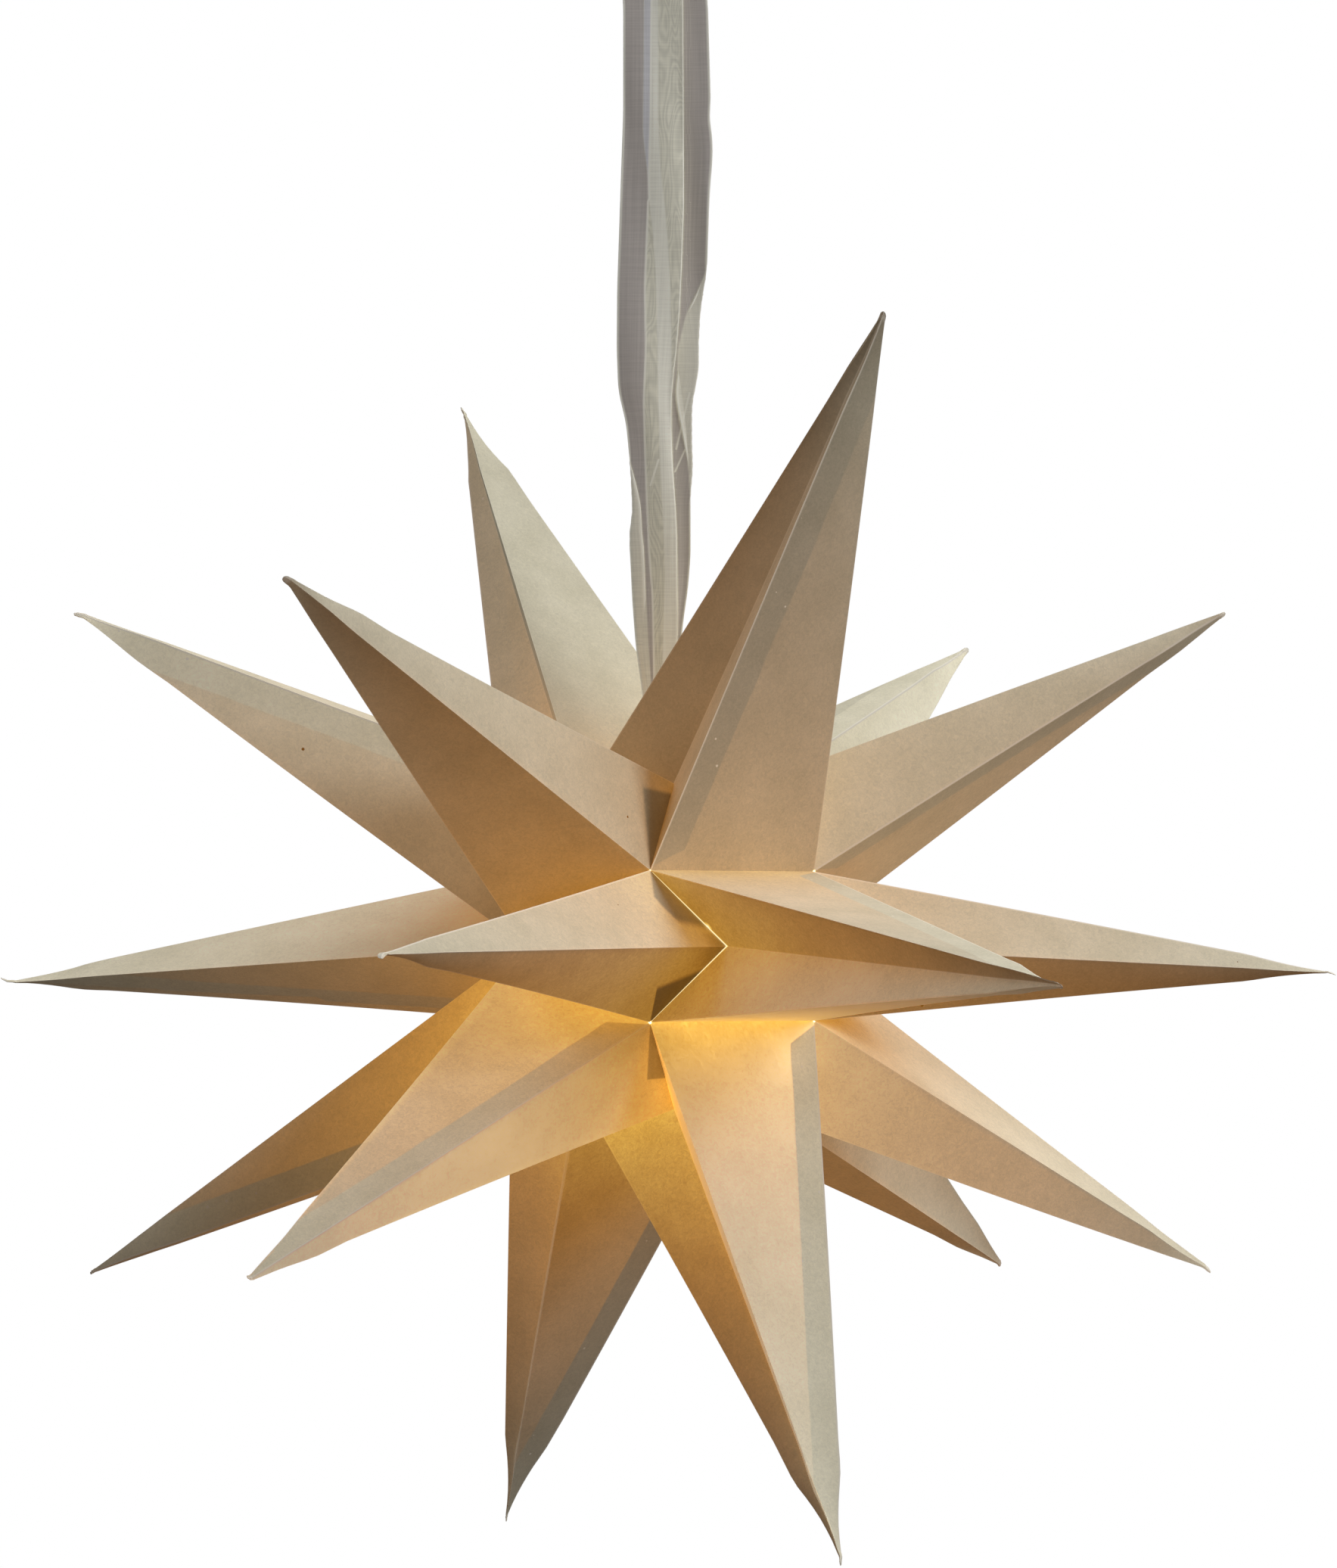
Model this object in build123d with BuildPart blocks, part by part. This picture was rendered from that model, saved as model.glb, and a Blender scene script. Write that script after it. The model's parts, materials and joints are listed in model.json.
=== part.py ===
import os
from math import cos, radians, sin, sqrt

from build123d import *

# Paper star lantern: six leaves of three hollow paper spikes stand around a level folding axis.
# It hangs on a ribbon from a small steel plate, and a battery lamp hangs inside it.
# Millimetres and degrees. Origin: centre of the hanging hole. +X right, +Y away from the front, +Z up.

# Star
drop = 455.0  # star's centre below the hanging hole
axis_azimuth = -57.0  # folding axis: its left pole, turned from the front towards the right
leaf_angle = 60.0  # from one leaf to the next, about the folding axis
middle_reach = 306.0  # tips of the middle spikes from the star's centre
side_reach = 303.0  # tips of the left and right spikes from the star's centre
side_tilt = 55.0  # left and right spikes, tilted from the middle plane towards their pole
base_half = 43.5  # half of the straight base edge between two middle spikes
ring_radius = 66.5  # corners of the bases from the folding axis
pole_reach = 72.0  # poles, where six spikes meet, from the star's centre
crease_along = 20.5  # crease points between middle and side spikes, along the folding axis
crease_radius = 83.0  # the same points from the folding axis
paper = 0.4

# Each spike of a hand-opened star leans a little: turned about the folding axis, tilted to the left pole.
# One line for each leaf, from the one that faces front: left, middle and right spike.
leans = [
    [(-1, 0), (-3, 1), (-4, -1)],
    [(-1, -1), (5, -6), (-5, 3)],
    [(2, 0), (3, 1), (5, 1)],
    [(5, -4), (0, 0), (0, 0)],
    [(13, 6), (2, -1), (3, 0)],
    [(1, 3), (1, 2), (-2, -1)],
]
top_leaves = (1, 2)  # the ribbon goes in between the middle spikes of these two leaves

# Hanger plate
hole_radius = 5.0
eye_radius = 10.0
plate_thickness = 2.4
rod_radius = 1.5
rod_drop = 20.0  # rod's centre below the hanging hole
leg_radius = 3.5
leg_clearance = 1.5  # ribbon's edge to the leg

# Ribbon
strand_width = 28.0
strand_shift = 6.0  # front strand to the left and back strand to the right of the middle
ribbon_thickness = 0.5
ribbon_clearance = 0.2  # loop round the rod
loop_steps = 6  # sections of the loop, from the back strand to the front one
fold_depth = 2.5  # each strand bows outwards across its width
fold_start = 30.0  # full bow below the rod
taper_top = 260.0  # heights above the star's centre: the strands narrow from here
gather_top = 135.0  # and are gathered from here
neck_top = 100.0  # into a round neck
gather_width = 20.0
neck_radius = 3.5
knot_radius = 6.5
knot_height = 9.0

# Hanger disc under the top seam, with two ears and the pin that carries the lamp
disc_radius = 17.0
disc_thickness = 2.0
seat_clearance = 0.1
neck_clearance = 0.4
ear_thickness = 2.0
ear_width = 10.0
pin_radius = 1.5
pin_clearance = 0.06
knot_clearance = 1.0

# Battery case with three cells, switch bay below them, lid at the back
cell_count = 3
cell_radius = 5.25
cell_length = 44.5
nub_radius = 1.9
nub_height = 0.8
cell_pitch = 11.2
cell_clearance = 0.4
contact_room = 2.0
contact_thickness = 0.5
bump_radius = 2.5
case_wall = 1.5
lid_thickness = 1.6
lid_clearance = 0.1
lid_ledge = 0.8  # lid's edge past the cell bay
grip_count = 3  # ribs on the lid
grip_width = 0.75
grip_pitch = 1.5
grip_inset = 4.5  # middle rib from the case's edge
rail_thickness = 1.2
rail_overlap = 1.5
switch_bay = 8.0
eye_width = 8.0
eye_thickness = 6.0
eye_reach = 7.0  # pin's centre above the case

# Slide switch
knob_width = 4.0
knob_height = 2.6
knob_reach = 2.0
switch_travel = 3.0
switch_clearance = 0.2
slider_plate = 1.2
switch_depth = 4.0

# Lamp base, board and globe
base_radius = 20.0
base_height = 8.0
recess_radius = 17.2
recess_depth = 5.0
board_thickness = 1.6
globe_radius = 21.0
globe_wall = 1.2
globe_clearance = 0.3
wire_hole = 3.0
led_radius = 2.5
led_height = 1.4
led_ring_radius = 9.0
led_ring_count = 4
screw_offset = 12.0
screw_radius = 1.0
screw_head_radius = 2.0
screw_head_height = 1.3
boss_radius = 2.6

os.makedirs("parts", exist_ok=True)


def write(piece, name):
    piece.part.label = name
    export_step(piece.part, f"parts/{name}.step")


# The star's own frame: folding axis, level axis and up, about its centre.
azimuth = radians(axis_azimuth)
folding_axis = Vector(sin(azimuth), -cos(azimuth), 0)
level_axis = Vector(cos(azimuth), sin(azimuth), 0)
up = Vector(0, 0, 1)
centre = Vector(0, 0, -drop)
block_size = 2.2 * max(middle_reach, side_reach)


def round_axis(turn):
    return level_axis * cos(radians(turn)) + up * sin(radians(turn))


def rim(leaf, side):
    turn = leaf_angle * (leaf + 0.5)
    return centre + folding_axis * (side * base_half) + round_axis(turn) * ring_radius


def crease(leaf, side):
    return centre + folding_axis * (side * crease_along) + round_axis(leaf_angle * leaf) * crease_radius


def pole(side):
    return centre + folding_axis * (side * pole_reach)


def spike_tip(leaf, side):
    turn_lean, tilt_lean = leans[leaf][1 - side]
    reach = side_reach if side else middle_reach
    tilt = radians(side * side_tilt + tilt_lean)
    turn = leaf_angle * leaf + turn_lean
    return centre + (round_axis(turn) * cos(tilt) + folding_axis * sin(tilt)) * reach


def face_plane(apex, first, second, inside, inset=0.0):
    """Plane through an apex and a base edge, facing out, moved inwards by the inset."""
    normal = (first - apex).cross(second - apex).normalized()
    if normal.dot(inside - apex) > 0:
        normal = normal * -1
    return Plane(origin=apex - normal * inset, z_dir=normal)


def carved_block(planes, keep, notches=()):
    with BuildPart() as block:
        with Locations(centre):
            Box(block_size, block_size, block_size)
        for plane in planes:
            split(bisect_by=plane, keep=keep)
        for notch in notches:
            add(notch, mode=Mode.SUBTRACT)
    return block.part


def fold_planes(apex, loop, inside, inset=0.0):
    return [face_plane(apex, first, second, inside, inset) for first, second in zip(loop, loop[1:])]


def spike_shell(tip, ridges, valleys, mouths):
    """Hollow spike. Ridges are runs of base points joined by outward folds, valleys by inward ones."""
    base_points = [point for run in ridges + valleys for point in run]
    base_middle = sum(base_points, Vector()) / len(base_points)
    inside = tip * 0.5 + base_middle * 0.5
    walls = [plane for run in ridges for plane in fold_planes(tip, run, inside)]
    linings = [plane for run in ridges for plane in fold_planes(tip, run, inside, paper)]
    mitres = [plane for run in mouths for plane in fold_planes(centre, run, inside)]
    outer_cuts = []
    inner_cuts = []
    for run in valleys:
        outer_cuts.append(carved_block(fold_planes(tip, run, inside), Keep.TOP))
        outer_cuts.append(carved_block(fold_planes(centre, run, inside), Keep.TOP))
        inner_cuts.append(carved_block(fold_planes(tip, run, inside, paper), Keep.TOP))
    outer = carved_block(walls + mitres, Keep.BOTTOM, outer_cuts)
    hollow = carved_block(linings, Keep.BOTTOM, inner_cuts)
    return outer, hollow


def middle_spike(leaf):
    upper = [rim(leaf, 1), rim(leaf, -1)]
    lower = [rim(leaf - 1, -1), rim(leaf - 1, 1)]
    valleys = [[rim(leaf, side), crease(leaf, side), rim(leaf - 1, side)] for side in (1, -1)]
    return spike_shell(spike_tip(leaf, 0), [upper, lower], valleys, [upper, lower])


def side_spike(leaf, side):
    loop = [pole(side), rim(leaf, side), crease(leaf, side), rim(leaf - 1, side), pole(side)]
    return spike_shell(spike_tip(leaf, side), [loop], [], [loop])


# Heights of the hanging parts, from the seam down
seam = centre + up * ring_radius
seam_faces = [face_plane(spike_tip(leaf, 0), rim(top_leaves[0], 1), rim(top_leaves[0], -1), centre)
              for leaf in top_leaves]
seam_depth = max(paper / abs(plane.z_dir.Z) for plane in seam_faces)
disc_top = seam.Z - seam_depth - seat_clearance
disc_bottom = disc_top - disc_thickness
knot_bottom = disc_bottom - knot_height
pin_z = knot_bottom - knot_clearance - eye_width / 2
case_top = pin_z - eye_reach
ear_gap = 2 * (knot_radius + knot_clearance)
neck_hole_radius = neck_radius + neck_clearance

# Paper spikes
side_names = {1: "left", 0: "middle", -1: "right"}
for leaf in range(len(leans)):
    for side, side_name in side_names.items():
        outer, hollow = side_spike(leaf, side) if side else middle_spike(leaf)
        with BuildPart() as spike:
            add(outer)
            add(hollow, mode=Mode.SUBTRACT)
            if side == 0 and leaf in top_leaves:
                with Locations(seam):
                    Cylinder(neck_hole_radius, ring_radius, mode=Mode.SUBTRACT)
        write(spike, f"leaf_{leaf + 1}_{side_name}_spike")

# Hanger plate: an eye above, two legs and a round rod for the ribbon below
ribbon_half = strand_width / 2 + strand_shift
leg_half = ribbon_half + leg_clearance + leg_radius
with BuildPart() as hanger_plate:
    with BuildSketch(Plane.XZ):
        Circle(eye_radius)
        with Locations((-leg_half, -rod_drop), (leg_half, -rod_drop)):
            Circle(leg_radius)
        make_hull()
        window_half = leg_half - leg_radius
        window_top = -eye_radius - leg_radius
        with BuildLine():
            Polyline(
                (-window_half, -rod_drop - leg_radius),
                (-window_half, -rod_drop + leg_radius),
                (-eye_radius, window_top),
                (eye_radius, window_top),
                (window_half, -rod_drop + leg_radius),
                (window_half, -rod_drop - leg_radius),
                close=True,
            )
        make_face(mode=Mode.SUBTRACT)
        Circle(hole_radius, mode=Mode.SUBTRACT)
    extrude(amount=plate_thickness / 2, both=True)
    with Locations((0, 0, -rod_drop)):
        Cylinder(rod_radius, 2 * leg_half, rotation=(0, 90, 0))
write(hanger_plate, "hanger_plate")

# Ribbon: two strands from a loop that crosses the rod on a skew, narrowing, then gathered into a neck
loop_inner = rod_radius + ribbon_clearance
loop_outer = loop_inner + ribbon_thickness
loop_middle = loop_inner + ribbon_thickness / 2
gather_z = centre.Z + gather_top
neck_top_z = centre.Z + neck_top
strand_sections = [  # height, width, shift and bow
    (-rod_drop, strand_width, strand_shift, 0),
    (-rod_drop - fold_start, strand_width, strand_shift, fold_depth),
    (centre.Z + taper_top, strand_width, strand_shift, fold_depth),
    (gather_z, gather_width, 0, 0),
]
with BuildPart() as ribbon:
    for step in range(loop_steps + 1):
        turn = radians(180 * step / loop_steps)
        across = strand_shift * (1 - 2 * step / loop_steps)
        middle = Vector(across, loop_middle * cos(turn), loop_middle * sin(turn) - rod_drop)
        with BuildSketch(Plane(origin=middle, x_dir=(1, 0, 0), z_dir=(0, -sin(turn), cos(turn)))):
            Rectangle(strand_width, ribbon_thickness)
    loft()
    for side in (-1, 1):
        for height, width, shift, bow in strand_sections:
            left = side * shift - width / 2
            right = side * shift + width / 2
            inner = side * loop_inner
            outer = side * loop_outer
            with BuildSketch(Plane.XY.offset(height)):
                with BuildLine():
                    Line((right, inner), (right, outer))
                    Line((left, outer), (left, inner))
                    if bow:
                        ThreePointArc((right, outer), (side * shift, outer + side * bow), (left, outer))
                        ThreePointArc((left, inner), (side * shift, inner + side * bow), (right, inner))
                    else:
                        Line((right, outer), (left, outer))
                        Line((left, inner), (right, inner))
                make_face()
        loft(ruled=True)
    with BuildSketch(Plane.XY.offset(gather_z)):
        Rectangle(gather_width, 2 * loop_outer)
    with BuildSketch(Plane.XY.offset(neck_top_z)):
        Circle(neck_radius)
    loft()
    with Locations((0, 0, neck_top_z)):
        Cylinder(neck_radius, neck_top_z - disc_bottom, align=(Align.CENTER, Align.CENTER, Align.MAX))
write(ribbon, "ribbon")

with BuildPart() as ribbon_knot:
    with Locations((0, 0, disc_bottom)):
        Cylinder(knot_radius, knot_height, align=(Align.CENTER, Align.CENTER, Align.MAX))
    fillet(ribbon_knot.edges().filter_by(GeomType.CIRCLE), knot_height / 3)
write(ribbon_knot, "ribbon_knot")

# Hanger disc: the ribbon's neck goes through it, the knot stays below it
with BuildPart() as hanger_disc:
    with Locations((0, 0, disc_top)):
        Cylinder(disc_radius, disc_thickness, align=(Align.CENTER, Align.CENTER, Align.MAX))
    with Locations((0, 0, disc_top)):
        Cylinder(neck_hole_radius, 2 * disc_thickness, mode=Mode.SUBTRACT)
    for side in (-1, 1):
        with BuildSketch(Plane.XZ.offset(side * ear_gap / 2)):
            with Locations((0, (disc_bottom + pin_z) / 2)):
                Rectangle(ear_width, disc_bottom - pin_z)
            with Locations((0, pin_z)):
                Circle(ear_width / 2)
                Circle(pin_radius, mode=Mode.SUBTRACT)
        extrude(amount=side * ear_thickness)
write(hanger_disc, "hanger_disc")

pin_length = ear_gap + 2 * ear_thickness
with BuildPart() as hanger_pin:
    with Locations((0, 0, pin_z)):
        Cylinder(pin_radius, pin_length, rotation=(90, 0, 0))
write(hanger_pin, "hanger_pin")

# Battery case, open at the back for the lid and below for the switch bay
bay_x = (cell_count - 1) * cell_pitch + 2 * (cell_radius + cell_clearance)
bay_y = 2 * (cell_radius + cell_clearance)
bay_z = cell_length + 2 * contact_room
channel_y = lid_thickness + 2 * lid_clearance
channel_z = bay_z + 2 * lid_ledge
case_x = bay_x + 2 * case_wall
case_y = case_wall + bay_y + channel_y + rail_thickness
case_z = bay_z + 2 * case_wall + switch_bay
front_y = -case_wall - bay_y / 2  # the cells stand on the plane y = 0
bay_middle_z = case_top - case_wall - bay_z / 2
bay_bottom_z = case_top - 2 * case_wall - bay_z
case_bottom = case_top - case_z
channel_middle_y = bay_y / 2 + channel_y / 2
back_y = front_y + case_y
knob_z = bay_bottom_z - switch_bay / 2
slot_width = knob_width + switch_travel + 2 * switch_clearance
slot_height = knob_height + 2 * switch_clearance
with BuildPart() as battery_case:
    with Locations((0, front_y + case_y / 2, case_top - case_z / 2)):
        Box(case_x, case_y, case_z)
    fillet(battery_case.edges().filter_by(Axis.Z), case_wall)
    with Locations((0, 0, bay_middle_z)):
        Box(bay_x, bay_y, bay_z, mode=Mode.SUBTRACT)
    with Locations((case_wall / 2, channel_middle_y, bay_middle_z)):
        Box(case_x - case_wall, channel_y, channel_z, mode=Mode.SUBTRACT)
    with Locations((case_wall / 2, back_y, bay_middle_z)):
        Box(case_x - case_wall, 2 * rail_thickness, channel_z - 2 * rail_overlap, mode=Mode.SUBTRACT)
    with Locations((0, front_y + case_y / 2, case_bottom)):
        Box(bay_x, case_y - 2 * case_wall, 2 * switch_bay, mode=Mode.SUBTRACT)
    with Locations((switch_travel / 2, front_y, knob_z)):
        Box(slot_width, 3 * case_wall, slot_height, mode=Mode.SUBTRACT)
    with Locations((-screw_offset, 0, bay_bottom_z), (screw_offset, 0, bay_bottom_z)):
        Cylinder(boss_radius, switch_bay, align=(Align.CENTER, Align.CENTER, Align.MAX))
        Cylinder(screw_radius, switch_bay, align=(Align.CENTER, Align.CENTER, Align.MAX), mode=Mode.SUBTRACT)
    with BuildSketch(Plane.XZ):
        with Locations((0, pin_z - eye_reach / 2)):
            Rectangle(eye_width, eye_reach)
        with Locations((0, pin_z)):
            Circle(eye_width / 2)
            Circle(pin_radius + pin_clearance, mode=Mode.SUBTRACT)
    extrude(amount=eye_thickness / 2, both=True)
write(battery_case, "battery_case")

lid_length = case_x - case_wall - lid_clearance
lid_height = channel_z - 2 * lid_clearance
with BuildPart() as battery_lid:
    with Locations((case_wall / 2 + lid_clearance / 2, channel_middle_y, bay_middle_z)):
        Box(lid_length, lid_thickness, lid_height)
    grip_x = case_x / 2 - grip_inset
    with Locations((grip_x, channel_middle_y + lid_thickness / 2, bay_middle_z)):
        with GridLocations(grip_pitch, 0, grip_count, 1):
            Box(grip_width, rail_thickness, lid_height / 2)
write(battery_lid, "battery_lid")

cell_bottom = bay_middle_z - cell_length / 2
with BuildPart() as battery_cells:
    with Locations((0, 0, cell_bottom)):
        with GridLocations(cell_pitch, 0, cell_count, 1):
            Cylinder(cell_radius, cell_length - nub_height, align=(Align.CENTER, Align.CENTER, Align.MIN))
            Cylinder(nub_radius, cell_length, align=(Align.CENTER, Align.CENTER, Align.MIN))
write(battery_cells, "battery_cells")

# Contact strips at both ends of the cells, each with a bump for every cell
for name, end in (("upper_contacts", 1), ("lower_contacts", -1)):
    strip_z = bay_middle_z + end * (bay_z / 2 - contact_thickness / 2)
    bump_z = bay_middle_z + end * (cell_length + contact_room) / 2
    with BuildPart() as contacts:
        with Locations((0, 0, strip_z)):
            Box(bay_x - 2 * cell_clearance, 2 * bump_radius, contact_thickness)
        with Locations((0, 0, bump_z)):
            with GridLocations(cell_pitch, 0, cell_count, 1):
                Cylinder(bump_radius, contact_room)
    write(contacts, name)

# Slide switch: the knob comes through the front wall, the switch body stands behind it
slider_y = front_y + case_wall + switch_clearance + slider_plate / 2
knob_y = slider_y - slider_plate / 2 - (case_wall + switch_clearance + knob_reach) / 2
with BuildPart() as switch_slider:
    with Locations((0, slider_y, knob_z)):
        Box(slot_width + switch_travel, slider_plate, slot_height + case_wall)
    with Locations((0, knob_y, knob_z)):
        Box(knob_width, case_wall + switch_clearance + knob_reach, knob_height)
write(switch_slider, "switch_slider")

switch_y = slider_y + slider_plate / 2 + switch_clearance + switch_depth / 2
with BuildPart() as switch_body:
    with Locations((0, switch_y, bay_bottom_z)):
        Box(
            2 * (screw_offset - boss_radius) - 2 * switch_clearance,
            switch_depth,
            switch_bay - 2 * switch_clearance,
            align=(Align.CENTER, Align.CENTER, Align.MAX),
        )
write(switch_body, "switch_body")

# Lamp base: a round plate under the case, recessed below for the board and the globe's neck
base_bottom = case_bottom - base_height
recess_top = base_bottom + recess_depth
lamp_y = front_y + case_y / 2
with BuildPart() as lamp_base:
    with Locations((0, lamp_y, case_bottom)):
        Cylinder(base_radius, base_height, align=(Align.CENTER, Align.CENTER, Align.MAX))
    fillet(lamp_base.edges().group_by(Axis.Z)[-1], case_wall)
    with Locations((0, lamp_y, base_bottom)):
        Cylinder(recess_radius, 2 * recess_depth, mode=Mode.SUBTRACT)
        Cylinder(wire_hole, 3 * base_height, mode=Mode.SUBTRACT)
    with Locations((-screw_offset, 0, recess_top), (screw_offset, 0, recess_top)):
        Cylinder(screw_head_radius, 2 * screw_head_height, mode=Mode.SUBTRACT)
        Cylinder(screw_radius, 3 * base_height, mode=Mode.SUBTRACT)
write(lamp_base, "lamp_base")

screw_length = base_height - recess_depth + switch_bay / 2
with BuildPart() as base_screws:
    with Locations((-screw_offset, 0, recess_top), (screw_offset, 0, recess_top)):
        Cylinder(screw_radius, screw_length, align=(Align.CENTER, Align.CENTER, Align.MIN))
        Cylinder(screw_head_radius, screw_head_height, align=(Align.CENTER, Align.CENTER, Align.MIN))
write(base_screws, "base_screws")

board_bottom = recess_top - board_thickness
with BuildPart() as led_board:
    with Locations((0, lamp_y, recess_top)):
        Cylinder(
            recess_radius - globe_clearance,
            board_thickness,
            align=(Align.CENTER, Align.CENTER, Align.MAX),
        )
write(led_board, "led_board")

with BuildPart() as leds:
    with Locations((0, lamp_y, board_bottom)):
        Cylinder(led_radius, led_height, align=(Align.CENTER, Align.CENTER, Align.MAX))
        with PolarLocations(led_ring_radius, led_ring_count):
            Cylinder(led_radius, led_height, align=(Align.CENTER, Align.CENTER, Align.MAX))
    fillet(leds.edges().group_by(Axis.Z)[0], led_height / 2)
write(leds, "leds")

# Globe: frosted bubble whose neck stands in the recess below the board
neck_outer = recess_radius - globe_clearance
neck_height = recess_depth - board_thickness
globe_middle = base_bottom - sqrt(globe_radius**2 - neck_outer**2)
with BuildPart() as globe:
    with Locations((0, lamp_y, globe_middle)):
        Sphere(globe_radius)
    split(bisect_by=Plane.XY.offset(base_bottom), keep=Keep.BOTTOM)
    with Locations((0, lamp_y, base_bottom)):
        Cylinder(neck_outer, neck_height, align=(Align.CENTER, Align.CENTER, Align.MIN))
    with Locations((0, lamp_y, globe_middle)):
        Sphere(globe_radius - globe_wall, mode=Mode.SUBTRACT)
    with Locations((0, lamp_y, base_bottom)):
        Cylinder(neck_outer - globe_wall, 2 * neck_height, mode=Mode.SUBTRACT)
write(globe, "globe")
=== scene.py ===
import json

import bpy
import numpy as np
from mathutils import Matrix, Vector


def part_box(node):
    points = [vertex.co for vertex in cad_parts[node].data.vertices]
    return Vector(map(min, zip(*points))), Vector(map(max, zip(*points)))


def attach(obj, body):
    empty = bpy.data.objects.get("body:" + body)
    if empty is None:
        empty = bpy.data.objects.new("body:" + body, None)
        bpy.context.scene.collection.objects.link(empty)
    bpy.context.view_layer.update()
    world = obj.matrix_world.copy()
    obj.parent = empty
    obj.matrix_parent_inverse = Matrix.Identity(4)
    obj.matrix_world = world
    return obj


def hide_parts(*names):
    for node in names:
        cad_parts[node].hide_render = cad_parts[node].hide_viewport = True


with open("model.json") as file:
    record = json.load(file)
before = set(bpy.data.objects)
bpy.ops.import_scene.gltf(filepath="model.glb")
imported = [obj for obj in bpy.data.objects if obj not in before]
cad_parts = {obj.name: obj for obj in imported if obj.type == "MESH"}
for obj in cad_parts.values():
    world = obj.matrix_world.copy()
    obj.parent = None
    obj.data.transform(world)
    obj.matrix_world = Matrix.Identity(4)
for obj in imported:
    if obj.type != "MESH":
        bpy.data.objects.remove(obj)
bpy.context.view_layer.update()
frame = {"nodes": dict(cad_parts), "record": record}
bodyOf = {node: body for body, nodes in frame["record"]["behaviour"]["bodies"].items() for node in nodes}
print("frame loaded:", len(frame["nodes"]), "nodes")

# The scene is in metres, in the frame of the solids: origin in the hanging hole, +Z up, +Y away.
mm = 0.001


def linear(hexColour):  # sRGB hex to linear RGBA
    channels = np.array([int(hexColour[at:at + 2], 16) for at in (1, 3, 5)]) / 255
    curved = ((channels + 0.055) / 1.055) ** 2.4
    return (*np.where(channels <= 0.04045, channels / 12.92, curved).tolist(), 1.0)


def newMaterial(name):
    material = bpy.data.materials.new(name)
    material.use_nodes = True
    tree = material.node_tree
    return material, tree, tree.nodes["Principled BSDF"]


def feed(tree, socket, value):  # links another node's output, or sets a plain value
    if isinstance(value, bpy.types.NodeSocket):
        tree.links.new(value, socket)
    else:
        socket.default_value = value


def addNode(tree, kind, inputs=None, out=0, **settings):  # gives the output that the next node takes
    node = tree.nodes.new(kind)
    for name, value in settings.items():
        setattr(node, name, value)
    for socket, value in (inputs or {}).items():
        feed(tree, node.inputs[socket], value)
    return node.outputs[out]


def setSockets(tree, shader, **values):
    for name, value in values.items():
        feed(tree, shader.inputs[name.replace("_", " ")], value)


def unit(vectors):
    return vectors / np.maximum(np.linalg.norm(vectors, axis=-1, keepdims=True), 1e-12)


def addPiece(name, points, faces, material, smooth=True):
    mesh = bpy.data.meshes.new(name)
    mesh.from_pydata(points.reshape(-1, 3).tolist(), [], faces)
    mesh.materials.append(material)
    mesh.polygons.foreach_set("use_smooth", np.full(len(mesh.polygons), smooth))
    piece = bpy.data.objects.new(name, mesh)
    bpy.context.scene.collection.objects.link(piece)
    return piece


def addField(piece, name, values, kind="FLOAT_VECTOR", domain="CORNER"):
    field = piece.data.attributes.new(name, kind, domain)
    key = "vector" if kind == "FLOAT_VECTOR" else "value"
    field.data.foreach_set(key, np.ascontiguousarray(values, np.float32).ravel())


def addStripMap(piece, flat, faces):  # UV map of a ribbon: mm across and along the cloth
    uv = piece.data.uv_layers.new(name="strip")
    uv.data.foreach_set("uv", flat[faces.ravel()].astype(np.float32).ravel())


def standIn(piece, node):  # the piece moves with the node's body and is shown in its place
    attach(piece, bodyOf[node])
    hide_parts(node)


# The star's own frame: folding axis, level axis and up, about its centre.
star = {
    "drop": 0.455,           # centre below the hanging hole
    "axisAzimuth": -57.0,    # folding axis, from the front towards the right
    "leafAngle": 60.0,       # from one leaf to the next
    "middleReach": 0.306,    # tips of the middle spikes
    "sideReach": 0.303,      # tips of the side spikes
    "sideTilt": 55.0,        # side spikes from the middle plane
    "baseHalf": 0.0435,      # half of the base edge between middle spikes
    "ringRadius": 0.0665,
    "poleReach": 0.072,
    "creaseAlong": 0.0205,
    "creaseRadius": 0.083,
    # turn and tilt of each spike away from the even star: left, middle, right
    "leans": [
        [(-1, 0), (-3, 1), (-4, -1)],
        [(-1, -1), (5, -6), (-5, 3)],
        [(2, 0), (3, 1), (5, 1)],
        [(5, -4), (0, 0), (0, 0)],
        [(13, 6), (2, -1), (3, 0)],
        [(1, 3), (1, 2), (-2, -1)],
    ],
}
azimuth = np.radians(star["axisAzimuth"])
foldingAxis = np.array([np.sin(azimuth), -np.cos(azimuth), 0.0])
levelAxis = np.array([np.cos(azimuth), np.sin(azimuth), 0.0])
upAxis = np.array([0.0, 0.0, 1.0])
centre = np.array([0.0, 0.0, -star["drop"]])


def roundAxis(turn):
    return levelAxis * np.cos(np.radians(turn)) + upAxis * np.sin(np.radians(turn))


def rim(leaf, side):
    turn = star["leafAngle"] * (leaf + 0.5)
    return centre + foldingAxis * side * star["baseHalf"] + roundAxis(turn) * star["ringRadius"]


def crease(leaf, side):
    turn = star["leafAngle"] * leaf
    return centre + foldingAxis * side * star["creaseAlong"] + roundAxis(turn) * star["creaseRadius"]


def pole(side):
    return centre + foldingAxis * side * star["poleReach"]


def spikeTip(leaf, side):
    turnLean, tiltLean = star["leans"][leaf][1 - side]
    reach = star["sideReach"] if side else star["middleReach"]
    tilt = np.radians(side * star["sideTilt"] + tiltLean)
    turn = star["leafAngle"] * leaf + turnLean
    return centre + (roundAxis(turn) * np.cos(tilt) + foldingAxis * np.sin(tilt)) * reach


def baseLoop(leaf, side):  # corners of a spike's open base; face n lies between corners n and n + 1
    if side:
        return np.array([pole(side), rim(leaf, side), crease(leaf, side), rim(leaf - 1, side)])
    return np.array([
        rim(leaf, 1), rim(leaf, -1), crease(leaf, -1),
        rim(leaf - 1, -1), rim(leaf - 1, 1), crease(leaf, 1),
    ])


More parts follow.
